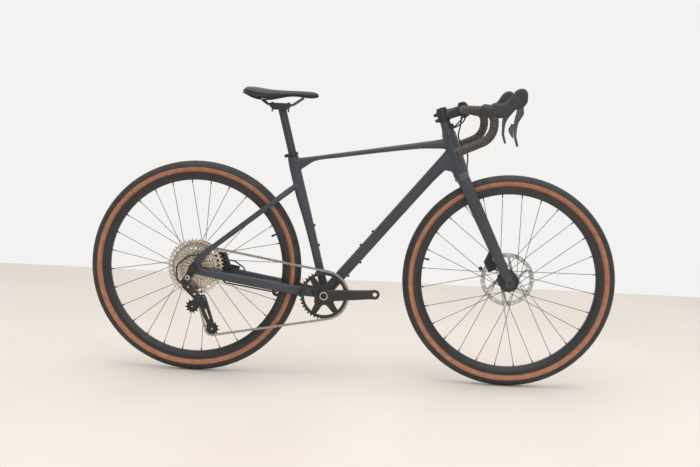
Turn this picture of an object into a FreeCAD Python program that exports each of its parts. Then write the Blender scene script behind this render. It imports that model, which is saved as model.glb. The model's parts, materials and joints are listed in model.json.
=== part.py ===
import FreeCAD, Part
import math
import os

Vec = FreeCAD.Vector

# Gaps between pieces
running_gap = 0.05
piece_gap = 0.4
cutter_reach = 3.0

# Geometry that the whole bike hangs on
wheelbase = 1050.0
tyre_radius = 355.0
bracket_forward = 437.0
bracket_drop = 71.5
seat_angle = 74.6
head_angle = 70.0
fork_offset = 46.5
fork_length = 396.0

# Head tube and headset
head_tube_length = 124.0
head_tube_lower_radius = 26.5
head_tube_upper_radius = 24.0
head_tube_wall = 3.0
bearing_height = 7.0
bearing_shoulder = 1.5
crown_gap = 1.0
steerer_lower_radius = 16.5
steerer_upper_radius = 14.3
steerer_wall = 2.4
cover_height = 50.0
cover_top_radius = 16.5
cover_shares = [(1.00, 0.0), (0.97, 0.10), (0.62, 0.26), (0.30, 0.44), (0.10, 0.66), (0.0, 1.0)]

# Main tubes
tube_wall = 1.6
tube_corner_share = 0.88
top_tube_rise = 455.0
top_tube_front_height = 106.0
top_tube_depth = 22.0
top_tube_width = 36.0
down_tube_front_height = 75.0
down_tube_depth = 38.0
down_tube_width = 42.0
seat_tube_length = 473.0
seat_tube_depth = 35.0
seat_tube_width = 35.0
seat_tube_lower_bore = 11.0
shell_width = 68.0
shell_radius = 23.0
shell_wall = 3.5

# Along, depth, offset and width of the main tubes, as shares
top_tube_shares = [
    (0.00, 1.95, -0.55, 0.80), (0.05, 1.65, -0.40, 0.80), (0.13, 0.78, 0.02, 0.80),
    (0.30, 0.74, 0.06, 0.84), (0.78, 0.95, 0.00, 0.96), (0.90, 1.30, -0.14, 1.00), (1.00, 1.70, -0.30, 1.02),
]
down_tube_shares = [
    (0.00, 0.96, 0.00, 1.10), (0.25, 0.96, 0.00, 1.04), (0.80, 1.00, 0.00, 0.98), (0.91, 1.14, -0.06, 0.98),
    (1.00, 1.34, -0.14, 1.00),
]
seat_tube_shares = [
    (0.00, 0.79, -0.06, 1.08), (0.40, 0.83, -0.05, 1.06), (0.58, 0.93, -0.01, 1.02),
    (0.72, 1.06, 0.06, 1.00), (0.92, 1.06, 0.07, 1.00), (1.00, 1.04, 0.02, 1.02),
]

# Rear triangle
dropout_spacing = 142.0
dropout_thickness = 8.0
dropout_radius = 16.0
stay_wall = 1.4
chain_stay_height = 31.0
chain_stay_width = 16.0
chain_stay_front_drop = 3.0
chain_stay_rear_drop = 7.5
seat_stay_rise = 380.0
seat_stay_rear_rise = 23.0
seat_stay_depth = 19.0
seat_stay_width = 13.0
bridge_radius = 5.0
bridge_share = 0.165
eyelet_radius = 2.5
eyelet_forward = 15.0
eyelet_drop = 15.0

# Along, side, height and width of the stays, as shares
chain_stay_shares = [
    (0.035, 0.29, 0.84, 0.94), (0.10, 0.40, 0.94, 0.86), (0.18, 0.485, 1.00, 0.80),
    (0.313, 0.62, 1.00, 1.00), (0.55, 0.75, 0.99, 1.06), (0.74, 0.87, 0.92, 0.94),
    (0.85, 0.97, 0.76, 0.56), (0.97, 1.00, 0.62, 0.48),
]
seat_stay_shares = [
    (0.00, 0.11, 1.05, 1.00), (0.10, 0.30, 1.05, 1.00), (0.20, 0.46, 1.00, 1.00), (0.50, 0.70, 0.98, 0.98),
    (0.72, 0.88, 0.95, 0.88), (0.86, 0.97, 0.88, 0.66), (0.98, 1.00, 0.82, 0.57),
]
dropout_plate_share = 0.905

# Hanger and axles
hanger_thickness = 7.0
hanger_radius = 14.0
hanger_eye_radius = 10.5
hanger_bolt_radius = 5.0
hanger_drop = 28.5
hanger_setback = 14.0
axle_radius = 6.0
axle_head_radius = 9.0
axle_head_length = 4.0
front_axle_spacing = 100.0

# Bottom bracket cups
cup_radius = 21.5
cup_width = 10.5
cup_thread_depth = 9.0

# Seat post, collar and saddle
post_radius = 13.6
post_wall = 2.2
post_exposed = 146.0
post_inserted = 160.0
post_travel = 80.0
collar_radius = 19.0
collar_height = 11.0
collar_bolt_radius = 2.5
collar_lug_reach = 9.0
collar_lug_width = 12.0
rail_radius = 3.5
rail_spread = 44.0
rail_height_above_post = 17.0
rail_bend_radius = 14.0
rail_front_share = 0.80
rail_rear_share = 0.255
rail_bury_share = 0.45
cradle_length = 68.0
cradle_back_share = 0.60
cradle_width = 58.0
cradle_height = 12.0
cradle_taper = 13.5
cradle_bolt_radius = 2.5
cradle_bolt_spacing = 54.0
cradle_bolt_reach = 24.0
saddle_length = 249.0
saddle_width = 148.0
saddle_setback = 130.0
saddle_rise = 45.0
saddle_thickness = 20.0
shell_thickness = 4.0

# Along, half width, top, edge and foot of the saddle, as shares of length, width and thickness
saddle_shares = [
    (0.00, 0.30, 0.95, 0.70, 0.45), (0.06, 0.43, 1.40, 0.80, 0.20), (0.18, 0.50, 1.36, 0.55, -0.40),
    (0.36, 0.40, 1.08, 0.34, -0.45), (0.55, 0.22, 1.00, 0.45, 0.05), (0.70, 0.16, 1.00, 0.52, 0.24),
    (0.86, 0.135, 0.98, 0.48, 0.06), (0.95, 0.12, 0.88, 0.46, 0.12), (1.00, 0.06, 0.58, 0.46, 0.34),
]
saddle_foot_share = 0.80
saddle_side_share = 0.96

# Fork
crown_height = 30.0
crown_width = 92.0
crown_depth = 50.0
leg_top_depth = 41.0
leg_top_width = 19.0
leg_end_radius = 16.0
leg_wall = 2.5
leg_dropout_thickness = 11.0
leg_shares = [
    (0.055, 0.66, 1.02, 1.00), (0.16, 0.70, 1.00, 1.00), (0.40, 0.78, 0.96, 0.90), (0.70, 0.88, 0.86, 0.76),
    (0.90, 0.975, 0.76, 0.64), (0.965, 1.00, 0.66, 0.56),
]
fork_bolt_radius = 3.2
fork_bolt_height = 1.8

# Stem
stem_length = 66.0
stem_slope = 19.0
stem_clamp_height = 41.0
stem_clamp_radius = 19.0
stem_body_height = 34.0
stem_body_width = 34.0
stem_face_width = 46.0
stem_face_wall = 5.5
cap_height = 6.0
stem_bolt_radius = 2.5
stem_bolt_spread = 15.0
stem_face_bolt_rise = 20.5
stem_lug_radius = 6.0
stem_lug_half = 11.0
stem_lug_reach = 5.5
stem_lug_shares = [0.24, 0.70]

# Handlebar, tape and plugs
bar_clamp_radius = 15.9
bar_clamp_width = 74.0
bar_radius = 11.9
bar_wall = 2.2
bar_top_half = 168.0
bar_hood_half = 208.0
bar_drop_half = 216.0
bar_end_half = 238.0
bar_reach = 90.0
bar_drop = 136.0
bar_end_setback = 25.0
bar_front_drop = 84.0
bar_corner_radius = 50.0
bar_reach_radius = 38.0
bar_drop_radius = 64.0
tape_thickness = 2.8
tape_start = 62.0
plug_length = 4.0

# Lever bodies, levers and paddle
hood_length = 112.0
hood_height = 46.0
hood_width = 29.0
hood_sleeve = 26.0
lever_pivot_ahead = 91.0
lever_pivot_rise = 19.0
lever_pin_radius = 2.5
lever_thickness = 10.0
lever_length = 124.0
lever_travel = 20.0
paddle_stud_radius = 2.0
paddle_thickness = 3.0
paddle_length = 42.0
paddle_stud_share = 0.6

# Along, middle, half height and half width of the hood, as shares of length, height and width
hood_shares = [
    (0.00, 0.00, 0.42, 0.47), (0.20, 0.02, 0.516, 0.50), (0.42, 0.125, 0.537, 0.48),
    (0.55, 0.40, 0.647, 0.47), (0.64, 0.70, 0.68, 0.46), (0.76, 0.89, 0.68, 0.46),
    (0.88, 0.955, 0.636, 0.44), (0.96, 0.99, 0.474, 0.40), (1.00, 0.97, 0.30, 0.30),
]
lever_shares = [
    (0.00, 0.000, 0.075), (0.18, 0.000, 0.095), (0.386, -0.080, 0.061), (0.55, -0.098, 0.041),
    (0.77, -0.098, 0.035), (1.00, -0.030, 0.030),
]

# Ahead and up from the paddle's eye, as shares of its length
paddle_shares = [
    (0.00, 0.00), (-0.22, 0.00), (-0.366, -0.27), (-0.386, -0.43), (-0.32, -0.60), (-0.167, -0.82),
    (-0.05, -1.00), (0.00, -0.98), (0.00, -0.50),
]

# Hoses
hose_radius = 2.5
hose_bend_radius = 14.0
housing_bend_radius = 12.0
housing_loop_radius = 34.0

# Ahead, left and up from the middle of the bar, as shares of the head tube's length
front_hose_shares = [
    (0.00, 0.53, -0.122), (0.00, 0.43, -0.140), (0.00, 0.33, -0.20), (-0.02, 0.26, -0.44),
    (-0.05, 0.27, -0.73), (0.20, 0.22, -1.14), (0.22, 0.16, -1.45), (0.24, 0.12, -1.75),
]
rear_hose_shares = [
    (0.00, -0.53, -0.122), (0.00, -0.42, -0.140), (0.00, -0.32, -0.19), (-0.11, -0.11, -0.36),
    (-0.25, -0.055, -0.525),
]
shift_housing_shares = [
    (0.083, -0.53, -0.083), (0.083, -0.43, -0.105), (0.080, -0.32, -0.17), (-0.02, -0.02, -0.37),
    (-0.24, 0.06, -0.50),
]

# Along the chain stay and below its middle, as shares of its length and half height
housing_run_shares = [(0.33, 0.50), (0.37, 1.26), (0.75, 1.26), (0.79, 0.50)]
brake_run_shares = [(0.62, 0.00), (0.655, -1.60)]

# Wheels
rim_outer_radius = 317.5
rim_inner_radius = 291.0
rim_width = 28.0
rim_wall = 1.7
rim_nose_width = 13.0
rim_bed_depth = 8.0
tyre_width = 44.0
tyre_wall = 2.6
tread_thickness = 4.0
bead_gap = 0.3
valve_radius = 3.0
valve_length = 17.0
valve_cap_radius = 3.6
spoke_count = 28
spoke_radius = 1.0
spoke_cross = 3
spoke_head_stagger = 4.5
nipple_radius = 2.1
nipple_length = 11.0
front_valve_angle = 167.6
rear_valve_angle = 24.2

# Hubs
flange_thickness = 3.2
front_flange_radius = 33.5
front_flange_spread = 52.0
front_hub_core_radius = 15.0
rear_flange_radius = 29.5
rear_left_flange = 33.0
rear_right_flange = 19.0
rear_hub_core_radius = 20.0
flange_margin = 3.2
hub_bearing_radius = 13.0
hub_end_radius = 11.0
hub_bearing_width = 7.0

# Brakes
front_rotor_radius = 90.0
rear_rotor_radius = 80.0
rotor_thickness = 1.8
rotor_band = 15.0
rotor_hub_radius = 34.0
rotor_arm_radius = 4.5
rotor_arms = 6
rotor_holes = 24
rotor_hole_radius = 2.6
front_rotor_inset = 10.4
rear_rotor_inset = 15.3
lock_ring_radius = 20.5
lock_ring_height = 4.0
pad_gap = 0.35
pad_thickness = 3.6
pad_back_gap = 0.3
pad_length = 22.0
pad_height = 15.0
caliper_wall = 7.0
caliper_clearance = 2.0
caliper_far_share = 0.62
front_caliper_low = 46.0
front_caliper_high = 112.0
front_caliper_near = 18.5
front_caliper_far = 48.5
front_pad_out = 70.0
front_pad_deep = 33.0
rear_caliper_low = 42.0
rear_caliper_high = 112.0
rear_caliper_near = 10.0
rear_caliper_far = 56.0
rear_pad_out = 62.0
rear_pad_deep = 31.0
caliper_tail_reach = 26.0
caliper_tail_height = 16.0

# Cranks and chainring
crank_length = 170.0
crank_angle = 4.5
crank_root_radius = 20.0
crank_end_radius = 16.0
crank_root_inner = 46.2
crank_root_outer = 70.0
crank_end_inner = 62.0
crank_end_outer = 75.5
crank_root_thickness = 15.0
crank_arm_shares = [(0.02, 0.0, 0.98), (0.30, 0.22, 0.97), (0.65, 0.72, 0.97), (0.99, 1.0, 0.97)]
spindle_radius = 12.0
spindle_bore = 9.5
pedal_hole_radius = 7.14
spider_angle = 57.0
spider_thickness = 6.0
spider_root_radius = 15.5
spider_end_radius = 10.0
spider_arch_inner = 32.0
spider_web_radius = 40.0
ring_bolt_circle = 60.0
ring_bolt_radius = 4.0
ring_bolt_head = 1.6
ring_teeth = 40
ring_inner_radius = 67.0
ring_thickness = 1.8
chain_line = 49.0

# Cassette
cog_teeth = [11, 13, 15, 17, 19, 21, 24, 28, 32, 37, 46]
engaged_cog = 9
cog_thickness = 1.6
cog_pitch = 3.74
first_cog_side = 65.0
freehub_radius = 17.0
spacer_wall = 1.4
cassette_lock_height = 2.4
cassette_lock_radius = 18.3
freehub_bore = 12.0
freehub_cap_radius = 10.0
cog_window_radius = 5.0

# Chain
pitch = 12.7
roller_radius = 3.85
roller_seat_gap = 0.15
tooth_height = 2.5
tooth_tip_width = 2.0
seat_arc_angle = 65.0
chain_plate_radius = 4.2
chain_waist_radius = 6.0
chain_plate_thickness = 0.75
chain_inner_width = 2.2
chain_plate_gap = 0.1
chain_pin_radius = 1.8
chain_straight_pitches = 1.6

# Derailleur
pulley_teeth = 11
pulley_thickness = 1.8
pulley_bore = 3.0
cage_bolt_head_radius = 4.5
cage_plate_thickness = 1.6
cage_half_gap = 4.3
guide_arm = 40.0
guide_arm_angle = 213.0
tension_arm = 105.0
tension_arm_angle = 285.0
cage_search_angle = 14.0
cage_pivot_radius = 5.0
cage_pivot_depth = 16.0
cage_guide_radius = 13.0
cage_pivot_plate_radius = 15.0
cage_tension_radius = 11.0
cage_slot_radius = 3.5
cage_slot_shares = (0.36, 0.66)
knuckle_pivot_back = 7.0
knuckle_pivot_drop = 27.0
knuckle_radius = 6.0
knuckle_reach = 16.0
knuckle_bolt_radius = 11.0
knuckle_width = 12.0
link_forward = 34.0
link_drop = 38.0
link_inward = 20.0
link_spread = 16.0
link_outset = 25.0
link_cheek_thickness = 4.0
link_cheek_radius = 5.0
link_web_thickness = 3.0
link_web_inset = 14.0
link_cheek_gap = 0.2
link_pin_radius = 2.2
cage_pivot_ahead = 20.0
cage_boss_radius = 14.0
cage_boss_length = 28.0

# Bottle bolts, as shares along each tube
bottle_bolt_radius = 4.2
bottle_bolt_height = 4.5
down_tube_bolt_shares = [0.41, 0.315]
down_tube_under_shares = [0.245, 0.15]
seat_tube_bolt_shares = [0.49, 0.345]

across = Vec(0, 1, 0)
ahead = Vec(1, 0, 0)
upward = Vec(0, 0, 1)
right = -1
left = 1


def lean(angle):
    """The direction along a tube that leans back, and the one square to it that points ahead."""
    turn = math.radians(angle)
    return Vec(-math.cos(turn), 0, math.sin(turn)), Vec(math.sin(turn), 0, math.cos(turn))


rear_axle = Vec(-wheelbase / 2, 0, tyre_radius)
front_axle = Vec(wheelbase / 2, 0, tyre_radius)
bracket = rear_axle + Vec(bracket_forward, 0, -bracket_drop)
seat_up, seat_ahead = lean(seat_angle)
steer_up, steer_ahead = lean(head_angle)
crown_race = front_axle - steer_ahead * fork_offset + steer_up * fork_length
head_foot = crown_race + steer_up * crown_gap
head_crest = head_foot + steer_up * head_tube_length
cover_foot = head_crest + steer_up * crown_gap
cover_crest = cover_foot + steer_up * cover_height
stem_middle = cover_crest + steer_up * (stem_clamp_height / 2)
stem_turn = math.radians(stem_slope)
stem_ahead = Vec(math.cos(stem_turn), 0, math.sin(stem_turn))
stem_up = Vec(-math.sin(stem_turn), 0, math.cos(stem_turn))
bar_middle = stem_middle + stem_ahead * stem_length
collar_foot = bracket + seat_up * seat_tube_length
collar_crest = collar_foot + seat_up * collar_height
post_crest = collar_crest + seat_up * post_exposed
dropout_middle = (dropout_spacing + dropout_thickness) / 2
dropout_outer = dropout_spacing / 2 + dropout_thickness
hanger_bolt = rear_axle + Vec(-hanger_setback, 0, -hanger_drop)
engaged_side = -(first_cog_side - cog_pitch * engaged_cog)


def moved(point, side):
    """A point of the middle plane moved sideways."""
    return Vec(point.x, point.y + side, point.z)


def blend(a, b, share):
    return a + (b - a) * share


def line(a, b):
    return Part.LineSegment(a, b).toShape()


def arc(a, b, c):
    return Part.Arc(a, b, c).toShape()


def unit(v):
    return v * (1 / v.Length)


def rod(radius, start, end):
    return Part.makeCylinder(radius, (end - start).Length, start, end - start)


def long_rod(radius, start, end):
    """A rod that passes both ends, for cutting."""
    beyond = unit(end - start) * cutter_reach
    return rod(radius, start - beyond, end + beyond)


def pipe(outer, inner, start, end):
    return rod(outer, start, end).cut(long_rod(inner, start, end))


def turned(corners, centre, axis):
    """A ring turned about an axis from corners given as radius and distance along."""
    out = ahead if abs(axis.dot(ahead)) < abs(axis.dot(across)) else across
    points = [centre + axis * along + out * radius for radius, along in corners]
    return Part.Face(Part.makePolygon(points + points[:1])).revolve(centre, axis, 360)


def oblong(centre, wide, tall, half_wide, half_tall):
    """A rounded rectangle of four lines and four quarter arcs."""
    corner = tube_corner_share * min(half_wide, half_tall)
    flat_wide = half_wide - corner
    flat_tall = half_tall - corner
    bulge = corner * math.sqrt(0.5)
    edges = []
    for w, t in ((1, 1), (-1, 1), (-1, -1), (1, -1)):
        pivot = centre + wide * (w * flat_wide) + tall * (t * flat_tall)
        side = pivot + wide * (w * corner)
        top = pivot + tall * (t * corner)
        middle = pivot + wide * (w * bulge) + tall * (t * bulge)
        edges.append((side, middle, top) if w == t else (top, middle, side))
    parts = []
    for index, (a, b, c) in enumerate(edges):
        parts.append(arc(a, b, c))
        parts.append(line(c, edges[(index + 1) % len(edges)][0]))
    return Part.Wire(parts)


def loft(wires):
    return Part.makeLoft(wires, True, False)


def tube_forms(stations, wall):
    """The outside and the inside of a tube, from its stations and the thickness of its wall."""
    outside = loft([oblong(c, w, t, a, b) for c, w, t, a, b in stations])
    inside = loft([oblong(c, w, t, a - wall, b - wall) for c, w, t, a, b in stations])
    return outside, inside


def straight_stations(start, end, depth, width, shares):
    """Stations along a straight tube of the middle plane."""
    along = unit(end - start)
    tall = across.cross(along) * -1
    return [
        (blend(start, end, share) + tall * (offset * depth), across, tall, w * width / 2, d * depth / 2)
        for share, d, offset, w in shares
    ]


def link_plate(a, b, radius_a, radius_b, side_a, side_b):
    """A plate round two circles of a plane square to the axles, between two sides."""
    span = math.hypot(b.x - a.x, b.z - a.z)
    heading = math.atan2(b.z - a.z, b.x - a.x)
    spread = math.acos((radius_a - radius_b) / span)

    def rim(centre, radius, angle):
        return Vec(centre.x + radius * math.cos(angle), side_a, centre.z + radius * math.sin(angle))

    a_top = rim(a, radius_a, heading + spread)
    a_low = rim(a, radius_a, heading - spread)
    b_top = rim(b, radius_b, heading + spread)
    b_low = rim(b, radius_b, heading - spread)
    outline = Part.Wire([
        arc(a_top, rim(a, radius_a, heading + math.pi), a_low),
        line(a_low, b_low),
        arc(b_low, rim(b, radius_b, heading), b_top),
        line(b_top, a_top),
    ])
    return Part.Face(outline).extrude(Vec(0, side_b - side_a, 0))


def cross_rod(radius, point, side_a, side_b):
    """A rod across the bike between two sides."""
    return rod(radius, Vec(point.x, side_a, point.z), Vec(point.x, side_b, point.z))


def joined(shapes):
    whole = shapes[0].multiFuse(shapes[1:]) if len(shapes) > 1 else shapes[0]
    return whole.removeSplitter()


def solid_of(shape):
    """The largest solid of a result, which drops the offcuts of a trimmed end."""
    return max(shape.Solids, key=lambda s: s.Volume)


def bent_path(points, radii):
    """Lines and tangent arcs through corner points, as segments with their lengths."""
    segments = []
    start = points[0]
    for index, radius in enumerate(radii):
        corner = points[index + 1]
        come = unit(corner - points[index])
        go = unit(points[index + 2] - corner)
        turn = come.getAngle(go)
        reach = radius * math.tan(turn / 2)
        enter = corner - come * reach
        leave = corner + go * reach
        inward = unit(go - come)
        centre = corner + inward * (radius / math.cos(turn / 2))
        segments.append(("line", start, enter, (enter - start).Length, None, None))
        segments.append(("arc", enter, leave, radius * turn, centre, come.cross(go)))
        start = leave
    segments.append(("line", start, points[-1], (points[-1] - start).Length, None, None))
    return segments


def path_length(segments):
    return sum(s[3] for s in segments)


def on_segment(segment, distance):
    kind, start, end, _, centre, axis = segment
    if kind == "line":
        return start + unit(end - start) * distance
    turn = math.degrees(distance / (start - centre).Length)
    return centre + FreeCAD.Rotation(axis, turn).multVec(start - centre)


def path_edges(segments, begin, finish):
    """The edges of a path between two distances along it."""
    edges = []
    passed = 0
    for segment in segments:
        low = max(begin - passed, 0)
        high = min(finish - passed, segment[3])
        if high - low > running_gap:
            a = on_segment(segment, low)
            b = on_segment(segment, high)
            if segment[0] == "line":
                edges.append(line(a, b))
            else:
                edges.append(arc(a, on_segment(segment, (low + high) / 2), b))
        passed += segment[3]
    return edges


def swept(edges, radius):
    first = edges[0]
    start = first.valueAt(first.FirstParameter)
    heading = first.tangentAt(first.FirstParameter)
    profile = Part.Wire(Part.Circle(start, heading, radius).toShape())
    return Part.Wire(edges).makePipeShell([profile], True, False)


def hose(points, radii, radius):
    segments = bent_path(points, radii)
    return swept(path_edges(segments, 0, path_length(segments)), radius)


def smooth_hose(points, radius):
    """A hose that bends evenly through its points."""
    curve = Part.BSplineCurve()
    curve.interpolate(points)
    return swept([curve.toShape()], radius)


def placed(shape, origin, first, second, third):
    turn = FreeCAD.Rotation(first, second, third, "XYZ")
    return shape.transformed(FreeCAD.Placement(origin, turn).toMatrix(), True)


def seat_tube_forms():
    stations = straight_stations(bracket, collar_foot, seat_tube_depth, seat_tube_width, seat_tube_shares)
    return tube_forms(stations, tube_wall)


def top_tube_forms():
    rear = bracket + seat_up * top_tube_rise
    front = head_foot + steer_up * top_tube_front_height
    stations = straight_stations(rear, front, top_tube_depth, top_tube_width, top_tube_shares)
    return tube_forms(stations, tube_wall)


def down_tube_forms():
    front = head_foot + steer_up * down_tube_front_height
    stations = straight_stations(bracket, front, down_tube_depth, down_tube_width, down_tube_shares)
    return tube_forms(stations, tube_wall)


def head_form():
    lower, upper = head_tube_lower_radius, head_tube_upper_radius
    return Part.makeCone(lower, upper, head_tube_length, head_foot, steer_up)


def shell_form():
    return cross_rod(shell_radius, bracket, -shell_width / 2, shell_width / 2)


def head_tube(outside):
    lower = head_tube_lower_radius - head_tube_wall
    upper = head_tube_upper_radius - head_tube_wall
    low_bore = lower - bearing_shoulder
    high_bore = upper - bearing_shoulder
    bore = Part.makeCone(low_bore, high_bore, head_tube_length, head_foot, steer_up)
    lower_seat = long_rod(lower, head_foot, head_foot + steer_up * (bearing_height - cutter_reach))
    upper_seat = long_rod(upper, head_crest - steer_up * (bearing_height - cutter_reach), head_crest)
    return outside.cut(joined([bore, lower_seat, upper_seat]))


def seat_tube(outside):
    bore_foot = collar_foot - seat_up * (post_inserted + post_travel)
    bore = rod(post_radius + running_gap, bore_foot, collar_foot + seat_up * cutter_reach)
    lower_bore = rod(seat_tube_lower_bore, bracket, bore_foot + seat_up * cutter_reach)
    return outside.cut(joined([bore, lower_bore]))


def main_frame():
    """The welded front triangle, tube by tube, each trimmed to the ones it is welded to."""
    head_outside = head_form()
    seat_outside, _ = seat_tube_forms()
    shell_outside = shell_form()
    top_outside, top_inside = top_tube_forms()
    down_outside, down_inside = down_tube_forms()
    shell_bore = cross_rod(shell_radius - shell_wall, bracket, -shell_width, shell_width)
    top = solid_of(top_outside.cut(top_inside).cut(head_outside).cut(seat_outside))
    down = down_outside.cut(down_inside).cut(joined([head_outside, shell_outside]))
    down = solid_of(down.cut(seat_outside).cut(top_outside))
    seat = solid_of(seat_tube(seat_outside).cut(shell_outside))
    return [head_tube(head_outside), top, down, seat, shell_outside.cut(shell_bore)]


def stay_stations(start, end, side, height, width, shares):
    along = unit(end - start)
    tall = across.cross(along) * -1
    stations = []
    for share, out, h, w in shares:
        middle = moved(blend(start, end, share), side * out * dropout_middle)
        stations.append((middle, across, tall, w * width / 2, h * height / 2))
    return stations


def chain_stay_ends():
    return bracket - upward * chain_stay_front_drop, rear_axle - upward * chain_stay_rear_drop


def seat_stay_ends():
    return bracket + seat_up * seat_stay_rise, rear_axle + upward * seat_stay_rear_rise


def chain_stay_forms(side):
    start, end = chain_stay_ends()
    stations = stay_stations(start, end, side, chain_stay_height, chain_stay_width, chain_stay_shares)
    return tube_forms(stations, stay_wall)


def seat_stay_forms(side):
    start, end = seat_stay_ends()
    stations = stay_stations(start, end, side, seat_stay_depth, seat_stay_width, seat_stay_shares)
    return tube_forms(stations, stay_wall)


def dropout_plate(inner, outer):
    """The plate that reaches from the axle to both stays, between two sides."""
    chain_end = blend(*chain_stay_ends(), dropout_plate_share)
    seat_end = blend(*seat_stay_ends(), dropout_plate_share)
    chain_radius = chain_stay_height * chain_stay_shares[-1][2] / 2
    seat_radius = seat_stay_depth * seat_stay_shares[-1][2] / 2
    return joined([
        link_plate(rear_axle, chain_end, dropout_radius, chain_radius, inner, outer),
        link_plate(rear_axle, seat_end, dropout_radius, seat_radius, inner, outer),
    ])


def dropout(side):
    plate = dropout_plate(side * dropout_spacing / 2, side * dropout_outer)
    eyelet = rear_axle + Vec(eyelet_forward, 0, -eyelet_drop)
    near = side * dropout_spacing / 4
    far = side * dropout_spacing
    axle_hole = cross_rod(axle_radius + running_gap, rear_axle, near, far)
    eyelet_hole = cross_rod(eyelet_radius, eyelet, near, far)
    return plate.cut([axle_hole, eyelet_hole])


def rear_triangle():
    """The welded stays, dropouts and bridge."""
    seat_outside, _ = seat_tube_forms()
    shell_outside = shell_form()
    pieces = []
    bridge_point = blend(*seat_stay_ends(), bridge_share)
    bridge = cross_rod(bridge_radius, bridge_point, -dropout_middle / 2, dropout_middle / 2)
    for side in (right, left):
        plate = dropout(side)
        chain_outside, chain_inside = chain_stay_forms(side)
        seat_stay_outside, seat_stay_inside = seat_stay_forms(side)
        trim = joined([seat_outside, shell_outside])
        end_room = dropout_plate(side * dropout_spacing / 4, side * dropout_spacing)
        pieces.append(solid_of(chain_outside.cut(chain_inside).cut(trim).cut(end_room)))
        pieces.append(solid_of(seat_stay_outside.cut(seat_stay_inside).cut(seat_outside).cut(end_room)))
        pieces.append(plate)
        bridge = bridge.cut(seat_stay_outside)
    middle = min(bridge.Solids, key=lambda s: abs(s.CenterOfMass.y))
    return pieces + [middle]


def derailleur_hanger():
    inner = -dropout_outer
    outer = inner - hanger_thickness
    plate = link_plate(rear_axle, hanger_bolt, hanger_radius, hanger_eye_radius, inner, outer)
    hole = cross_rod(axle_radius + running_gap, rear_axle, -dropout_spacing / 4, -dropout_spacing)
    eye = cross_rod(hanger_bolt_radius + running_gap, hanger_bolt, -dropout_spacing / 4, -dropout_spacing)
    return plate.cut([hole, eye])


def rear_through_axle():
    right_end = -(dropout_outer + hanger_thickness)
    shank = cross_rod(axle_radius, rear_axle, right_end, dropout_outer)
    head = cross_rod(axle_head_radius, rear_axle, dropout_outer, dropout_outer + axle_head_length)
    nut = cross_rod(axle_head_radius, rear_axle, right_end - axle_head_length / 2, right_end)
    return joined([shank, head, nut])


def headset_bearings():
    lower = head_tube_lower_radius - head_tube_wall - running_gap
    upper = head_tube_upper_radius - head_tube_wall - running_gap
    low = pipe(lower, steerer_lower_radius + running_gap, head_foot, head_foot + steer_up * bearing_height)
    high_foot = head_crest - steer_up * bearing_height
    high = pipe(upper, steerer_upper_radius + running_gap, high_foot, head_crest)
    return [low, high]


def bottom_bracket_cups():
    half = shell_width / 2
    thread = shell_radius - shell_wall - running_gap
    bore = spindle_radius + running_gap
    corners = [
        (bore, half - cup_thread_depth), (thread, half - cup_thread_depth), (thread, half),
        (cup_radius, half),
        (cup_radius, half + cup_width), (bore, half + cup_width),
    ]
    return [turned(corners, bracket, across), turned(corners, bracket, across * -1)]


def seat_collar():
    ring = rod(collar_radius, collar_foot, collar_crest)
    lug_middle = collar_middle() - seat_ahead * (collar_radius - running_gap)
    lug = cross_rod(collar_lug_reach, lug_middle, -collar_lug_width / 2, collar_lug_width / 2)
    lug = lug.common(rod(collar_radius * 2, collar_foot, collar_crest))
    hole_radius = collar_bolt_radius + running_gap
    bolt_hole = cross_rod(hole_radius, lug_bolt_point(), -collar_lug_width, collar_lug_width)
    bore = long_rod(post_radius + running_gap, collar_foot, collar_crest)
    return joined([ring, lug]).cut([bore, bolt_hole])


def collar_middle():
    return (collar_foot + collar_crest) / 2


def lug_bolt_point():
    return collar_middle() - seat_ahead * (collar_radius + collar_lug_reach / 2)


def headed_bolt(radius, head_radius, start, end, head_height):
    """A bolt with its head at the start."""
    along = unit(end - start)
    return joined([rod(radius, start, end), rod(head_radius, start - along * head_height, start)])


def surface_bolts():
    """Bolts whose heads sit on the tubes, and the collar bolt."""
    down_front = head_foot + steer_up * down_tube_front_height
    down_tall = across.cross(unit(down_front - bracket)) * -1
    bolts = []
    down_outside, _ = down_tube_forms()
    seat_outside, _ = seat_tube_forms()
    for share in down_tube_bolt_shares:
        bolts.append((blend(bracket, down_front, share), down_tall, down_outside, down_tube_depth))
    for share in down_tube_under_shares:
        bolts.append((blend(bracket, down_front, share), down_tall * -1, down_outside, down_tube_depth))
    for share in seat_tube_bolt_shares:
        bolts.append((blend(bracket, collar_foot, share), seat_ahead, seat_outside, seat_tube_depth))
    heads = []
    for middle, out, form, depth in bolts:
        start = surface_point(middle, out, form, depth)
        seat = rod(bottle_bolt_radius, start - out * bottle_bolt_height, start + out * bottle_bolt_height)
        heads.append(solid_of(seat.cut(form)))
    collar_bolt_start = moved(lug_bolt_point(), -collar_lug_width / 2)
    collar_bolt_end = moved(lug_bolt_point(), collar_lug_width / 2)
    head_height = collar_bolt_radius
    collar_bolt = headed_bolt(
        collar_bolt_radius, collar_bolt_radius * 1.7, collar_bolt_start, collar_bolt_end, head_height
    )
    return heads + [collar_bolt]


def surface_point(middle, out, form, depth):
    """Where a line from the middle of a tube leaves its outside."""
    probe = form.common(line(middle, middle + out * depth))
    return max((v.Point for v in probe.Vertexes), key=lambda p: (p - middle).dot(out))


def seat_post():
    return pipe(post_radius, post_radius - post_wall, collar_crest - seat_up * post_inserted, post_head())


def post_head():
    return post_crest + seat_up * (rail_height_above_post - cradle_height / 2)


def rail_height():
    return post_crest.z + rail_height_above_post


def rail_end(share):
    """Where the middle of a rail ends, partly let into the shell at a share along the saddle."""
    x = post_crest.x - saddle_setback + share * saddle_length
    foot = saddle_base() + saddle_thickness * saddle_foot(share)
    return x, foot - shell_thickness - rail_radius * rail_bury_share


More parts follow.
